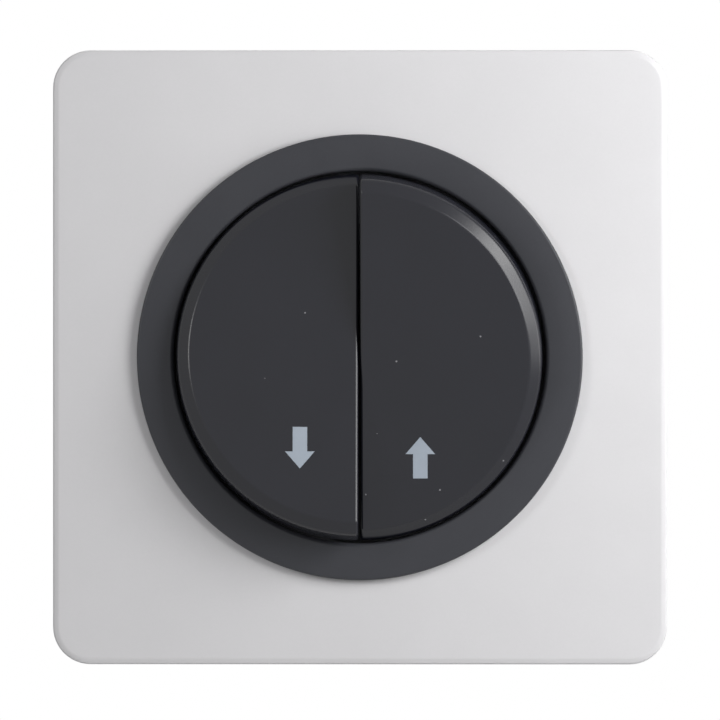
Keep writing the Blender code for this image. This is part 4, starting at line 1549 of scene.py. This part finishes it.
@dataclass
class Studio:
    """The camera, the lamps, the white surroundings and the floor.

    Attributes:
        distance: From the camera to the plate's front.
        yaw: How far to the right the camera stands, in degrees.
        frame_width: What the photograph spans at the plate, from side to side.
        aim: The point that lies in the middle of the photograph.
        ambient: The strength of the even light from all round.
        floor_height: The height of the floor, below the view.
        floor_half: Half the floor's side.
        floor_roughness: The roughness of the floor's paint.
        sensor: The camera sensor's width in millimetres.
        near_limit: The nearest distance that the camera sees.
        lamps: The softboxes.
    """

    distance: float = 1.1
    yaw: float = 0.8
    frame_width: float = 96.3 * MM
    aim: tuple[float, float, float] = (0.0, -6.0 * MM, -0.36 * MM)
    ambient: float = 0.17
    floor_height: float = -0.3
    floor_half: float = 0.6
    floor_roughness: float = 0.8
    sensor: float = 36.0
    near_limit: float = 0.05
    lamps: tuple[Softbox, ...] = (
        Softbox("near_softbox", 20, 41, 0.25, 0.15, 0.45),
        Softbox("key_softbox", 32, 26, 0.45, 0.15, 0.2),
        Softbox("side_softbox", 0, 14, 0.45, 0.15, 0.34),
        Softbox("left_softbox", 158, 43, 0.5, 0.12, 0.33),
    )

    def build(self) -> None:
        """Builds the whole studio."""
        self._camera()
        for lamp in self.lamps:
            lamp.build()
        self._world()
        self._floor()
        bpy.context.scene.view_settings.view_transform = "Standard"

    def _camera(self) -> None:
        """Places the long lens that looks at the plate, almost squarely."""
        lens = bpy.data.cameras.new("camera")
        lens.sensor_width = self.sensor
        lens.lens = self.sensor * self.distance / self.frame_width
        lens.clip_start = self.near_limit
        camera = bpy.data.objects.new("camera", lens)
        angle = math.radians(self.yaw)
        aim = Vector(self.aim)
        camera.location = aim + Vector((math.sin(angle), -math.cos(angle), 0)) * self.distance
        camera.rotation_euler = (aim - camera.location).to_track_quat("-Z", "Y").to_euler()
        bpy.context.scene.collection.objects.link(camera)
        bpy.context.scene.camera = camera

    def _world(self) -> None:
        """An even pale light, which the camera, gloss and glass see as plain white."""
        world = bpy.data.worlds.new("studio")
        bpy.context.scene.world = world
        world.use_nodes = True
        tree = world.node_tree
        light = tree.nodes["Background"]
        light.inputs["Color"].default_value = linear(PURE_WHITE)
        light.inputs["Strength"].default_value = self.ambient
        white = add_node(
            tree, "ShaderNodeBackground", None, {"Color": linear(PURE_WHITE), "Strength": 1.0}
        )
        shown = seen_directly(tree)
        mixed = add_node(
            tree, "ShaderNodeMixShader", None, {0: shown, 1: light.outputs[0], 2: white.outputs[0]}
        )
        tree.links.new(mixed.outputs[0], tree.nodes["World Output"].inputs["Surface"])

    def _floor(self) -> None:
        """A plain pale floor below the view, white where it is seen."""
        bm = bmesh.new()
        bmesh.ops.create_grid(bm, x_segments=1, y_segments=1, size=self.floor_half)
        bmesh.ops.translate(bm, vec=(0, 0, self.floor_height), verts=bm.verts)
        mesh = bpy.data.meshes.new("floor")
        bm.to_mesh(mesh)
        bm.free()
        material = bpy.data.materials.new("studio_floor_white")
        material.use_nodes = True
        tree = material.node_tree
        shader = tree.nodes["Principled BSDF"]
        shader.inputs["Base Color"].default_value = linear(FLOOR_PAINT)
        shader.inputs["Roughness"].default_value = self.floor_roughness
        white = add_node(
            tree, "ShaderNodeEmission", None, {"Color": linear(PURE_WHITE), "Strength": 1.0}
        )
        mixed = add_node(
            tree,
            "ShaderNodeMixShader",
            None,
            {0: seen_directly(tree), 1: shader.outputs[0], 2: white.outputs[0]},
        )
        tree.links.new(mixed.outputs[0], tree.nodes["Material Output"].inputs["Surface"])
        mesh.materials.append(material)
        floor = bpy.data.objects.new("floor", mesh)
        bpy.context.scene.collection.objects.link(floor)


def seen_directly(tree: bpy.types.NodeTree) -> bpy.types.NodeSocket:
    """Adds the test for rays from the camera, from gloss and through glass.

    Args:
        tree: The world's or the floor's tree.

    Returns:
        A socket that is 1 for such a ray and 0 for any other.
    """
    path = add_node(tree, "ShaderNodeLightPath").outputs
    seen = path["Is Camera Ray"]
    for kind in ("Is Glossy Ray", "Is Transmission Ray"):
        either = add_node(
            tree, "ShaderNodeMath", {"operation": "MAXIMUM"}, {0: seen, 1: path[kind]}
        )
        seen = either.outputs[0]
    return seen


def main() -> None:
    """Builds every sub-assembly, dresses the frame and sets up the studio."""
    logging.basicConfig(level=logging.INFO, format="%(name)s: %(message)s")
    pieces = [CoverPlate().build(), TrimRing().build()]
    pieces += [moulding.build() for moulding in MOULDINGS]
    for side in Side:
        rocker = Rocker(side)
        pieces.append(rocker.build())
        pieces.append(Arrow(rocker, *ARROW_PLACES[side]).build())
    for piece in pieces:
        log.info("built %s with %d faces", piece.name, len(piece.data.polygons))
    dressed = Mechanism().dress()
    log.info("dressed %d nodes of the frame", len(dressed))
    Studio().build()


if __name__ == "__main__":
    main()
